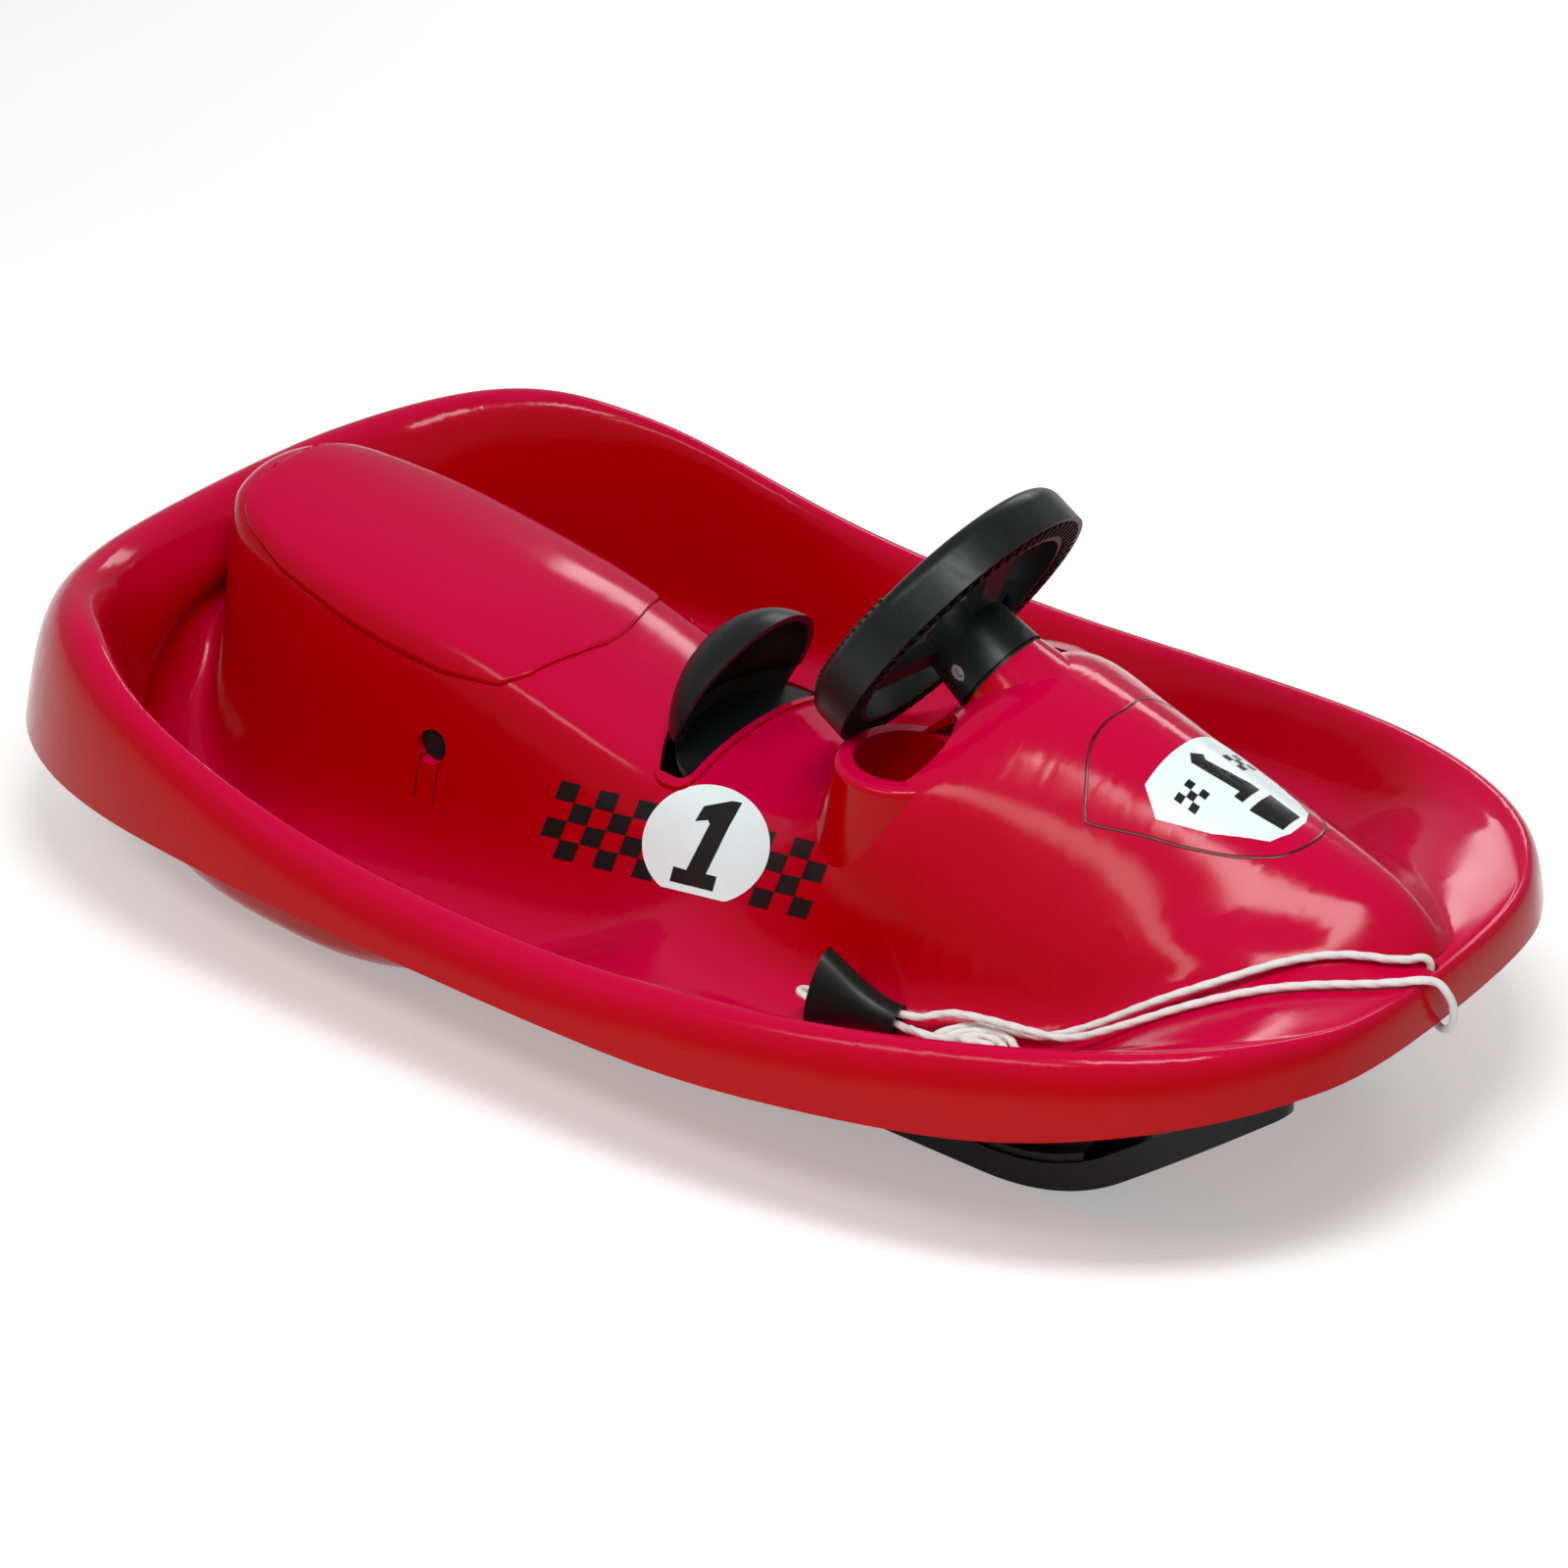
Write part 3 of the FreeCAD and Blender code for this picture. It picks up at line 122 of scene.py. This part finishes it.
def base_colour(tree, shader, factor, first, second):
    colour = blend_colour(tree, factor, first, second)
    tree.links.new(colour, shader.inputs["Base Color"])


def roughness(tree, shader, grain, low, high):
    value = between(tree, grain, *NOISE_SPAN, low, high)
    tree.links.new(value, shader.inputs["Roughness"])


def bump(tree, shader, height, strength, depth):
    node = tree.nodes.new("ShaderNodeBump")
    node.inputs["Strength"].default_value = strength
    node.inputs["Distance"].default_value = depth
    tree.links.new(height, node.inputs["Height"])
    tree.links.new(node.outputs["Normal"], shader.inputs["Normal"])


def red_plastic():
    """Painted light and shade: a dark red on the sides and a lighter, pinker red on faces that
    look up, by the height of the normal.
    """
    mat, tree, shader = new_material("red_plastic")
    facing = tree.nodes.new("ShaderNodeSeparateXYZ")
    geometry = tree.nodes.new("ShaderNodeNewGeometry")
    tree.links.new(geometry.outputs["Normal"], facing.inputs[0])
    # Painted light and shade: faces that look up get the lighter red, the sides the darker red
    painted_light_mask = between(tree, facing.outputs["Z"], *PAINTED_LIGHT_NORMAL_Z, 0.0, 1.0)
    red_in_painted_shade = blend_colour(tree, noise(tree, scale=7.0), (0.42, 0.0, 0.001), (0.47, 0.0, 0.002))
    red_in_painted_light = blend_colour(tree, noise(tree, scale=9.0), (0.56, 0.0, 0.044), (0.61, 0.0, 0.054))
    base_colour(tree, shader, painted_light_mask, red_in_painted_shade, red_in_painted_light)
    roughness(tree, shader, noise(tree, scale=30.0, detail=4.0), low=0.10, high=0.16)
    shader.inputs["Specular IOR Level"].default_value = 0.14
    bump(tree, shader, noise(tree, scale=420.0), strength=0.05, depth=0.0004)
    return mat


def black_plastic(name, low, high, grain, rough):
    mat, tree, shader = new_material(name)
    base_colour(tree, shader, noise(tree, scale=22.0, detail=4.0), low, high)
    roughness(tree, shader, noise(tree, scale=160.0, detail=3.0), rough, rough + BLACK_ROUGH_SPAN)
    shader.inputs["Specular IOR Level"].default_value = 0.2
    bump(tree, shader, noise(tree, grain, detail=3.0), strength=0.14, depth=0.0004)
    return mat


def steel():
    mat, tree, shader = new_material("zinc_steel")
    shader.inputs["Metallic"].default_value = 1.0
    cloud = noise(tree, scale=45.0, detail=5.0)
    base_colour(tree, shader, cloud, (0.42, 0.43, 0.45), (0.62, 0.62, 0.60))
    roughness(tree, shader, noise(tree, scale=120.0, detail=4.0), low=0.25, high=0.42)
    brushed = noise(tree, scale=500.0, stretch=(1.0, 0.1, 1.0))
    bump(tree, shader, brushed, strength=0.1, depth=0.0003)
    return mat


def rope_fibre():
    mat, tree, shader = new_material("rope_fibre")
    cloud = noise(tree, scale=300.0, detail=4.0)
    base_colour(tree, shader, cloud, (0.70, 0.70, 0.67), (0.88, 0.88, 0.86))
    roughness(tree, shader, noise(tree, scale=800.0), low=0.65, high=0.85)
    shader.inputs["Sheen Weight"].default_value = 0.25
    bump(tree, shader, noise(tree, scale=1500.0, detail=3.0), strength=0.25, depth=0.0004)
    return mat


def vinyl(name, low, high):
    mat, tree, shader = new_material(name)
    base_colour(tree, shader, noise(tree, scale=40.0, detail=3.0), low, high)
    roughness(tree, shader, noise(tree, scale=90.0, detail=3.0), low=0.2, high=0.3)
    shader.inputs["Specular IOR Level"].default_value = 0.3
    bump(tree, shader, noise(tree, scale=600.0), strength=0.03, depth=0.0002)
    return mat


RED = red_plastic()
BLACK = black_plastic("black_plastic", (0.007, 0.008, 0.008), (0.012, 0.014, 0.014),
                      grain=1300.0, rough=0.30)
SKI_BLACK = black_plastic("ski_plastic", (0.005, 0.006, 0.007), (0.009, 0.010, 0.012),
                          grain=700.0, rough=0.34)
STEEL = steel()
FIBRE = rope_fibre()
WHITE_VINYL = vinyl("white_vinyl", (0.82, 0.94, 0.94), (0.85, 0.96, 0.96))
BLACK_VINYL = vinyl("black_vinyl", (0.008, 0.008, 0.009), (0.012, 0.012, 0.013))
# Dark red of the bonnet's groove: painted shade
PAINTED_GROOVE_SHADE = vinyl("painted_groove_shade", (0.10, 0.0, 0.004), (0.14, 0.0, 0.006))

SLOT_LOOKS = {"hull_red": RED, "black_plastic": BLACK, "ski_plastic": SKI_BLACK,
              "steel": STEEL, "rope_white": FIBRE}
slot_of = {part["node"]: part["material_slot"] for part in frame["record"]["subparts"]}
for name, obj in nodes.items():
    obj.data.materials.clear()
    obj.data.materials.append(SLOT_LOOKS[slot_of[name]])


# Making pieces and finding places on the hull's skin
ABOVE = 0.5
hull = nodes["hull_shell"].data
skin = BVHTree.FromPolygons([v.co for v in hull.vertices],
                            [tuple(p.vertices) for p in hull.polygons])


def show(name, mesh, look, body):
    mesh.materials.append(look)
    obj = bpy.data.objects.new(name, mesh)
    scene.collection.objects.link(obj)
    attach(obj, body)
    return obj


def piece(name, verts, faces, look, body, slot):
    mesh = bpy.data.meshes.new(name)
    mesh.from_pydata([tuple(v) for v in verts], [], faces)
    for face in mesh.polygons:
        face.use_smooth = True
    return show(name, mesh, look, body)


def on_skin(start, way):
    """The first place of the hull on a ray, with its normal turned towards the ray's start."""
    place, normal, _, _ = skin.ray_cast(start, way)
    return place, normal if normal.dot(way) < 0 else -normal


def from_above(x, y):
    return on_skin(Vector((x, y, ABOVE)), Vector((0, 0, -1)))


def from_camera(u, v):
    return on_skin(CAMERA_AT, sight(u, v))


# Seat panel: a raised part of the seat, as (x, half angle over the ridge in degrees)
SEAT_AXIS_Z = 110 * MM
SEAT_REACH = 0.3
SEAT_RISE = 2.4 * MM
SEAT_SINK = 0.3 * MM
SEAT_EDGE = 3.5 * MM
SEAT_ROWS = 72
SEAT_COLUMNS = 48
SEAT_SPREAD = [(-394, 4), (-391, 20), (-383, 33), (-371, 39), (-333, 49), (-267, 58),
               (-231, 61), (-192, 63), (-150, 60), (-136, 52), (-124, 30), (-117, 8)]


def along(keys, x):
    for (xa, a), (xb, b) in zip(keys, keys[1:]):
        if x <= xb:
            return a + (b - a) * (x - xa) / (xb - xa)
    return keys[-1][1]


def seat_panel():
    rows, cols = SEAT_ROWS, SEAT_COLUMNS
    width = cols + 1
    start, end = SEAT_SPREAD[0][0], SEAT_SPREAD[-1][0]
    ground = []
    for i in range(rows + 1):
        x = start + (end - start) * (0.5 - 0.5 * math.cos(math.pi * i / rows))
        half = math.radians(along(SEAT_SPREAD, x))
        centre = Vector((x * MM, 0, SEAT_AXIS_Z))
        for j in range(width):
            t = math.sin(math.pi / 2 * (2 * j / cols - 1))
            out = Vector((0, math.sin(half * t), math.cos(half * t)))
            ground.append(on_skin(centre + out * SEAT_REACH, -out))
    border = [ground[i * width + j][0] for i in range(rows + 1) for j in range(width)
              if i in (0, rows) or j in (0, cols)]
    verts = []
    for place, normal in ground:
        inset = min((place - b).length for b in border)
        share = min(inset / SEAT_EDGE, 1.0)
        verts.append(place + normal * (SEAT_RISE * (1 - (1 - share) ** 2) - SEAT_SINK))
    faces = [(i * width + j, i * width + j + 1, (i + 1) * width + j + 1, (i + 1) * width + j)
             for i in range(rows) for j in range(cols)]
    return piece("seat_panel", verts, faces, RED, "hull", "hull_red")


seat_panel()


# Waved black sheet between the arms of the brake lever, put where the slot shows only shade:
# painted shade that keeps the slot dark
AXLE_X = -190
AXLE_Z = 107
ARM_FALL = math.tan(math.radians(11))
SLOT_SHADE_REAR_X = -122
SLOT_SHADE_FRONT_X = -44
SLOT_SHADE_HALF = 26.5
SLOT_SHADE_THICK = 3.0
SLOT_SHADE_WAVE = 1.2
SLOT_SHADE_WAVES = 6
SLOT_SHADE_ROWS = 48
SLOT_SHADE_COLUMNS = 6


# Painted shade: a black sheet in the brake slot, where there is only shade
def brake_slot_shade():
    rows, cols = SLOT_SHADE_ROWS, SLOT_SHADE_COLUMNS
    width = cols + 1
    layer = (rows + 1) * width
    verts = []
    for half in (SLOT_SHADE_THICK / 2, -SLOT_SHADE_THICK / 2):
        for i in range(rows + 1):
            x = SLOT_SHADE_REAR_X + (SLOT_SHADE_FRONT_X - SLOT_SHADE_REAR_X) * i / rows
            wave = SLOT_SHADE_WAVE * math.cos(math.tau * SLOT_SHADE_WAVES * i / rows)
            z = AXLE_Z - (x - AXLE_X) * ARM_FALL + wave + half
            verts += [(x * MM, SLOT_SHADE_HALF * (2 * j / cols - 1) * MM, z * MM) for j in range(width)]
    faces = []
    for i in range(rows):
        for j in range(cols):
            p = i * width + j
            q = p + layer
            faces.append((p, p + width, p + width + 1, p + 1))
            faces.append((q, q + 1, q + width + 1, q + width))
    border = ([(j, j + 1) for j in range(cols)]
              + [(i * width + cols, (i + 1) * width + cols) for i in range(rows)]
              + [(rows * width + j + 1, rows * width + j) for j in range(cols)]
              + [((i + 1) * width, i * width) for i in range(rows)])
    faces += [(p, q, q + layer, p + layer) for p, q in border]
    return piece("brake_slot_shade", verts, faces, BLACK, "brake", "black_plastic")


brake_slot_shade()


# Painted groove shade and decals that lie on the hull
RAISE = 0.25 * MM


def over_ridge(half_px, rear_x, front_x, unit=1.0):
    """An outline seen from above: near half from the picture, rear to front, then its mirror."""
    near = [from_camera(u, v)[0] / unit for u, v in half_px]
    near = [(p.x, p.y) for p in near]
    return [(rear_x, 0)] + near + [(front_x, 0)] + [(x, -y) for x, y in reversed(near)]


def smooth_loop(points, steps):
    """A closed line through the points, by Catmull and Rom's formula."""
    out = []
    n = len(points)
    for i in range(n):
        a, b, c, d = (Vector(points[(i + k) % n]) for k in (-1, 0, 1, 2))
        for k in range(steps):
            t = k / steps
            out.append(0.5 * ((2 * b) + (c - a) * t + (2 * a - 5 * b + 4 * c - d) * t * t
                              + (3 * b - a - 3 * c + d) * t ** 3))
    return out


# Bonnet's groove, drawn as a dark red strip that is painted shade, with its section as (share of
# the width, share of RAISE)
GROOVE_HALF_PX = [(1138, 729.5), (1123, 743), (1111.5, 766), (1108, 806), (1107, 832),
                  (1113, 841), (1163, 852), (1213, 865.5), (1266, 874.5), (1312, 872)]
GROOVE_REAR_X = 266.5 * MM
GROOVE_FRONT_X = 401 * MM
GROOVE_WIDTH = 2.4 * MM
GROOVE_STEPS = 8
GROOVE_SECTION = ((-0.5, -0.2), (-0.25, 0.9), (0.25, 0.9), (0.5, -0.2))


def bonnet_groove_shade():
    loop = smooth_loop(over_ridge(GROOVE_HALF_PX, GROOVE_REAR_X, GROOVE_FRONT_X), GROOVE_STEPS)
    places = [from_above(p.x, p.y) for p in loop]
    n, m = len(places), len(GROOVE_SECTION)
    verts = []
    for i, (place, normal) in enumerate(places):
        ahead = (places[(i + 1) % n][0] - places[i - 1][0]).normalized()
        side = normal.cross(ahead).normalized()
        for share, lift in GROOVE_SECTION:
            verts.append(place + side * (GROOVE_WIDTH * share) + normal * (RAISE * lift))
    faces = []
    for i in range(n):
        here, after = m * i, m * ((i + 1) % n)
        faces += [(here + k, here + k + 1, after + k + 1, after + k) for k in range(m - 1)]
    return piece("bonnet_groove_shade", verts, faces, PAINTED_GROOVE_SHADE, "hull", "hull_red")


bonnet_groove_shade()


def fine_polygons(polygons, longest):
    """Flat polygons cut into small triangles, so that they can follow the hull."""
    mesh = bmesh.new()
    for polygon in polygons:
        mesh.faces.new([mesh.verts.new((*p, 0)) for p in polygon])
    bmesh.ops.triangulate(mesh, faces=mesh.faces[:])
    while True:
        long_edges = [e for e in mesh.edges if e.calc_length() > longest]
        if not long_edges:
            break
        bmesh.ops.subdivide_edges(mesh, edges=long_edges, cuts=1)
        bmesh.ops.triangulate(mesh, faces=[f for f in mesh.faces if len(f.verts) > 3])
    mesh.verts.index_update()
    points = [(v.co.x, v.co.y) for v in mesh.verts]
    faces = [tuple(v.index for v in f.verts) for f in mesh.faces]
    mesh.free()
    return points, faces


def decal(name, polygons, look, layer, longest, lay):
    """Polygons laid on the hull by a function of their two coordinates."""
    points, faces = fine_polygons(polygons, longest)
    verts = []
    for a, b in points:
        place, normal = lay(a, b)
        verts.append(place + normal * (RAISE * layer))
    return piece(name, verts, faces, look, "hull", "hull_red")


# Roundel with a plain numeral and a chequered band, in the picture from the roundel's middle
ROUNDEL_AT = (721, 862)
ROUNDEL_WIDE = 65.3
ROUNDEL_TALL = 61.0
ROUNDEL_CUT = ((-49.4, 41.9), 0.2437)
ROUNDEL_POINTS = 96
CHEQUER_SHIFT = Vector((-3.0, 10.0))
CHEQUER_COLUMNS = range(-8, 6)
CHEQUER_ROWS = range(-2, 2)
STEP_ALONG = Vector((19.9, 4.85))
STEP_DOWN = Vector((-7.3, 18.5))
NUMERAL = [(37, -42), (27, -44), (-2, -39), (-11, -24), (2, -25), (4, -21), (-20, 26),
           (-33, 22), (-37, 37), (7, 48), (11, 33), (0, 30), (23, -17)]
FLANK_LONGEST = 7.0


def on_flank(a, b):
    return from_camera(ROUNDEL_AT[0] + a, ROUNDEL_AT[1] + b)


def roundel_point(k):
    angle = math.tau * k / ROUNDEL_POINTS
    x, y = ROUNDEL_WIDE * math.cos(angle), ROUNDEL_TALL * math.sin(angle)
    (start_x, start_y), slope = ROUNDEL_CUT
    return x, min(y, start_y + (x - start_x) * slope)


def square(column, row):
    corner = CHEQUER_SHIFT + STEP_ALONG * column + STEP_DOWN * row
    return [tuple(corner + STEP_ALONG * a + STEP_DOWN * b)
            for a, b in ((0, 0), (1, 0), (1, 1), (0, 1))]


roundel = [roundel_point(k) for k in range(ROUNDEL_POINTS)]
chequers = [square(c, r) for c in CHEQUER_COLUMNS for r in CHEQUER_ROWS if (c + r) % 2 == 0]
decal("chequers", chequers, BLACK_VINYL, 1, FLANK_LONGEST, on_flank)
decal("roundel", [roundel], WHITE_VINYL, 2, FLANK_LONGEST, on_flank)
decal("numeral", [NUMERAL], BLACK_VINYL, 3, FLANK_LONGEST, on_flank)

# Bonnet plate: outline as the groove's, and the rest as (x, y) in mm seen from above
PLATE_HALF_PX = [(1168, 801), (1179.5, 836), (1236, 851), (1296, 859), (1317, 851)]
PLATE_REAR_X = 306
PLATE_TIP_X = 389
PLATE_NUMERAL = [(318, 6), (313, 0), (318, -6), (318, -3), (350, -3), (350, -9), (356, -9),
                 (356, 9), (350, 9), (350, 3), (322, 3)]
PLATE_BLOCK = [(362, -11), (384, -9), (384, 9), (362, 11)]
PLATE_SQUARE = 5.0
PLATE_SQUARES_AT = (324, 17)
PLATE_SQUARES = ((0, 0), (1, 1), (0, 2), (2, 0), (2, 2))
BONNET_LONGEST = 4.0


def on_bonnet(x, y):
    return from_above(x * MM, y * MM)


def small_chequers(side):
    out = []
    for c, r in PLATE_SQUARES:
        x = PLATE_SQUARES_AT[0] + c * PLATE_SQUARE
        y = side * (PLATE_SQUARES_AT[1] + r * PLATE_SQUARE)
        far_x, far_y = x + PLATE_SQUARE, y + side * PLATE_SQUARE
        out.append([(x, y), (far_x, y), (far_x, far_y), (x, far_y)])
    return out


plate = over_ridge(PLATE_HALF_PX, PLATE_REAR_X, PLATE_TIP_X, MM)
plate_marks = [PLATE_NUMERAL, PLATE_BLOCK] + small_chequers(-1) + small_chequers(1)
decal("bonnet_plate", [plate], WHITE_VINYL, 1, BONNET_LONGEST, on_bonnet)
decal("bonnet_numeral", plate_marks, BLACK_VINYL, 2, BONNET_LONGEST, on_bonnet)


# Steering wheel: ribs in the rim's channel and grip bumps on the rider's face
WHEEL_CENTRE = Vector((137, 0, 270)) * MM
COLUMN_TILT = math.radians(57)
ON_COLUMN = Matrix.Translation(WHEEL_CENTRE) @ Matrix.Rotation(-COLUMN_TILT, 4, "Y")
RIB_COUNT = 64
RIB_SIZE = (13.6, 3.2, 28.8)
RIB_AT = (86, 0, -1.5)
GRIP_SIZE = (9.0, 2.6, 3.0)
GRIP_AT = (86, 0, 14.6)
GRIP_STARTS = (62, 234)
GRIP_SWEEP = 68
GRIP_STEP = 4
BEVEL_SHARE = 0.25


def bevelled_block(mesh, size, at, turn):
    made = bmesh.ops.create_cube(mesh, size=1.0)
    place = Matrix.Rotation(turn, 4, "Z") @ Matrix.Translation(at)
    stretched = place @ Matrix.Diagonal((*size, 1.0))
    bmesh.ops.transform(mesh, matrix=stretched, verts=made["verts"])
    edges = {e for v in made["verts"] for e in v.link_edges}
    bmesh.ops.bevel(mesh, geom=list(edges), offset=BEVEL_SHARE * min(size), segments=2,
                    affect="EDGES")


def wheel_piece(name, size, at, turns):
    mesh = bmesh.new()
    for turn in turns:
        bevelled_block(mesh, [s * MM for s in size], Vector(at) * MM, turn)
    bmesh.ops.transform(mesh, matrix=ON_COLUMN, verts=mesh.verts[:])
    data = bpy.data.meshes.new(name)
    mesh.to_mesh(data)
    mesh.free()
    return show(name, data, BLACK, "steering")


rib_turns = [math.tau * k / RIB_COUNT for k in range(RIB_COUNT)]
grip_turns = [math.radians(a) for start in GRIP_STARTS
              for a in range(start, start + GRIP_SWEEP, GRIP_STEP)]
wheel_piece("wheel_ribs", RIB_SIZE, RIB_AT, rib_turns)
wheel_piece("wheel_grips", GRIP_SIZE, GRIP_AT, grip_turns)


# Tow rope: route as in the solid, then a twisted rope along its smooth line
STRAND_OUT = [(200.9, -162.4, 103.9), (232.1, -157.0, 98.7), (251.1, -148.0, 108.5),
              (276.9, -145.0, 111.6), (304.7, -145.0, 115.1), (332.0, -143.0, 117.8),
              (362.0, -135.0, 135.3), (394.0, -117.0, 153.2), (426.0, -90.0, 163.2),
              (452.0, -70.0, 166.0), (474.0, -54.0, 166.6), (488.0, -40.0, 166.7),
              (500.0, -28.0, 167.5), (508.5, -23.0, 157.0), (510.0, -19.0, 141.0),
              (504.0, -14.0, 127.0), (494.0, -11.0, 125.0), (488.0, -10.5, 136.0),
              (488.0, -11.0, 152.0), (487.6, -11.5, 170.0), (477.0, -27.0, 169.6),
              (452.0, -44.0, 174.0), (428.0, -66.0, 171.4), (403.0, -96.0, 162.9),
              (372.0, -118.0, 147.5), (338.0, -129.0, 122.4), (310.0, -135.0, 107.0),
              (295.9, -137.0, 104.9)]
STRAND_BACK = [(270.4, -162.3, 104.0), (269.8, -171.7, 109.0), (260.9, -179.0, 110.7),
               (241.2, -175.0, 107.3), (235.3, -157.7, 92.5), (210.7, -161.9, 96.6),
               (185.9, -161.9, 96.4), (159.9, -164.8, 98.2), (162.7, -178.2, 101.1),
               (187.6, -171.9, 96.5)]
HANK_CENTRE = Vector((282, -167, 103.2))
HANK_SLOPE = math.radians(7)
HANK_RADIUS = 30.0
HANK_PITCH = 6.2
HANK_TURNS = 3
HANK_POINTS = 6
HANK_CUT = 0.966    # the smooth line runs at this share of its points' radius
ROUTE_ORDER = 3
ROUTE_STEPS = 10
ROPE_RADIUS = 2.5 * MM
ROPE_STEP = 0.5 * MM
ROPE_STRANDS = 3
ROPE_SIDES = 21
ROPE_LAY = 14 * MM
ROPE_LOBE = 0.20


def hank_route():
    """Half circles, each smaller than the last, on a sloping plane."""
    tilt = Matrix.Rotation(-HANK_SLOPE, 3, "Y")
    step = 180 / HANK_POINTS
    out = []
    for half_turn in range(2 * HANK_TURNS):
        reach = (HANK_RADIUS - half_turn * HANK_PITCH / 2) / HANK_CUT
        middle = 0.0 if half_turn % 2 == 0 else -HANK_PITCH / 2
        for k in range(HANK_POINTS):
            a = math.radians(90 + 180 * half_turn + step * (k + 0.5))
            spot = Vector((reach * math.cos(a), middle + reach * math.sin(a), 0))
            out.append(tuple(HANK_CENTRE + tilt @ spot))
    return out


def smooth_line(points):
    curve = bpy.data.curves.new("route", "CURVE")
    curve.dimensions = "3D"
    curve.resolution_u = ROUTE_STEPS
    spline = curve.splines.new("NURBS")
    spline.points.add(len(points) - 1)
    for point, place in zip(spline.points, points):
        point.co = (*(Vector(place) * MM), 1.0)
    spline.order_u = ROUTE_ORDER
    spline.use_endpoint_u = True
    carrier = bpy.data.objects.new("route", curve)
    scene.collection.objects.link(carrier)
    bpy.context.view_layer.update()
    made = carrier.evaluated_get(bpy.context.evaluated_depsgraph_get())
    mesh = bpy.data.meshes.new_from_object(made)
    line = []
    for vertex in mesh.vertices:
        if not line or (vertex.co - line[-1]).length > ROPE_STEP:
            line.append(vertex.co.copy())
    bpy.data.objects.remove(carrier)
    bpy.data.meshes.remove(mesh)
    return line


def rope_mesh(line):
    """Rings along the line with a lobe for each strand; a ROPE_LAY turns them on by one strand."""
    sides = ROPE_SIDES
    last = len(line) - 1
    verts = []
    ahead = (line[1] - line[0]).normalized()
    across = ahead.orthogonal().normalized()
    run = 0.0
    for i, place in enumerate(line):
        if i:
            run += (place - line[i - 1]).length
            now = (line[min(i + 1, last)] - line[i - 1]).normalized()
            across = (ahead.rotation_difference(now) @ across).normalized()
            ahead = now
        other = ahead.cross(across)
        twist = math.tau * run / ROPE_LAY / ROPE_STRANDS
        for k in range(sides):
            a = math.tau * k / sides
            lobe = abs(math.cos(ROPE_STRANDS / 2 * (a - twist)))
            r = ROPE_RADIUS * (1 - ROPE_LOBE + ROPE_LOBE * lobe)
            verts.append(place + across * (r * math.cos(a)) + other * (r * math.sin(a)))
    faces = []
    for i in range(last):
        here, after = i * sides, (i + 1) * sides
        for k in range(sides):
            beside = (k + 1) % sides
            faces.append((here + k, here + beside, after + beside, after + k))
    faces.append(tuple(range(sides))[::-1])
    faces.append(tuple(last * sides + k for k in range(sides)))
    return verts, faces


rope_line = smooth_line(STRAND_OUT + hank_route() + STRAND_BACK)
rope = piece("rope", *rope_mesh(rope_line), FIBRE, "hull", "rope_white")
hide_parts("tow_rope")


# Floor and light
FLOOR_HALF = 8
FLOOR_DROP = 0.5 * MM
FLOOR_GLOW = 0.34
WORLD_STRENGTH = 0.36
WHITE = (1, 1, 1, 1)


def floor_material():
    """Pale floor that glows a little, but only for rays that show it."""
    mat, tree, shader = new_material("pale_floor")
    base_colour(tree, shader, noise(tree, scale=3.0), (0.90, 0.90, 0.90), (0.93, 0.93, 0.93))
    shader.inputs["Roughness"].default_value = 0.7
    shader.inputs["Emission Color"].default_value = WHITE
    rays = tree.nodes.new("ShaderNodeLightPath").outputs
    seen = rays["Is Camera Ray"]
    for kind in ("Is Glossy Ray", "Is Transmission Ray"):
        total = tree.nodes.new("ShaderNodeMath")
        total.operation = "MAXIMUM"
        tree.links.new(seen, total.inputs[0])
        tree.links.new(rays[kind], total.inputs[1])
        seen = total.outputs[0]
    glow = between(tree, seen, 0, 1, 0, FLOOR_GLOW)
    tree.links.new(glow, shader.inputs["Emission Strength"])
    return mat


floor_mesh = bpy.data.meshes.new("floor")
corners = [(FLOOR_HALF * x, FLOOR_HALF * y, 0) for x, y in ((-1, -1), (1, -1), (1, 1), (-1, 1))]
floor_mesh.from_pydata(corners, [], [(0, 1, 2, 3)])
floor_mesh.materials.append(floor_material())
floor = bpy.data.objects.new("floor", floor_mesh)
floor.location.z = -FLOOR_DROP
scene.collection.objects.link(floor)


def soft_light(name, at, to, size, power):
    lamp = bpy.data.lights.new(name, "AREA")
    lamp.shape = "RECTANGLE"
    lamp.size, lamp.size_y = size
    lamp.energy = power
    obj = bpy.data.objects.new(name, lamp)
    obj.location = at
    obj.rotation_euler = (Vector(to) - Vector(at)).to_track_quat("-Z", "Y").to_euler()
    scene.collection.objects.link(obj)


soft_light("key", at=(0.7, -0.8, 2.1), to=(0.1, 0, 0.1), size=(0.9, 0.4), power=25)
soft_light("back", at=(-0.7, 2.2, 1.3), to=(0, 0, 0.1), size=(1.2, 0.4), power=11)
soft_light("side", at=(-0.2, -1.7, 1.9), to=(0, 0, 0.15), size=(1.5, 0.3), power=12)

world = bpy.data.worlds.new("studio")
world.use_nodes = True
sky = world.node_tree.nodes["Background"].inputs
sky["Color"].default_value = WHITE
sky["Strength"].default_value = WORLD_STRENGTH
scene.world = world
scene.view_settings.view_transform = "Standard"
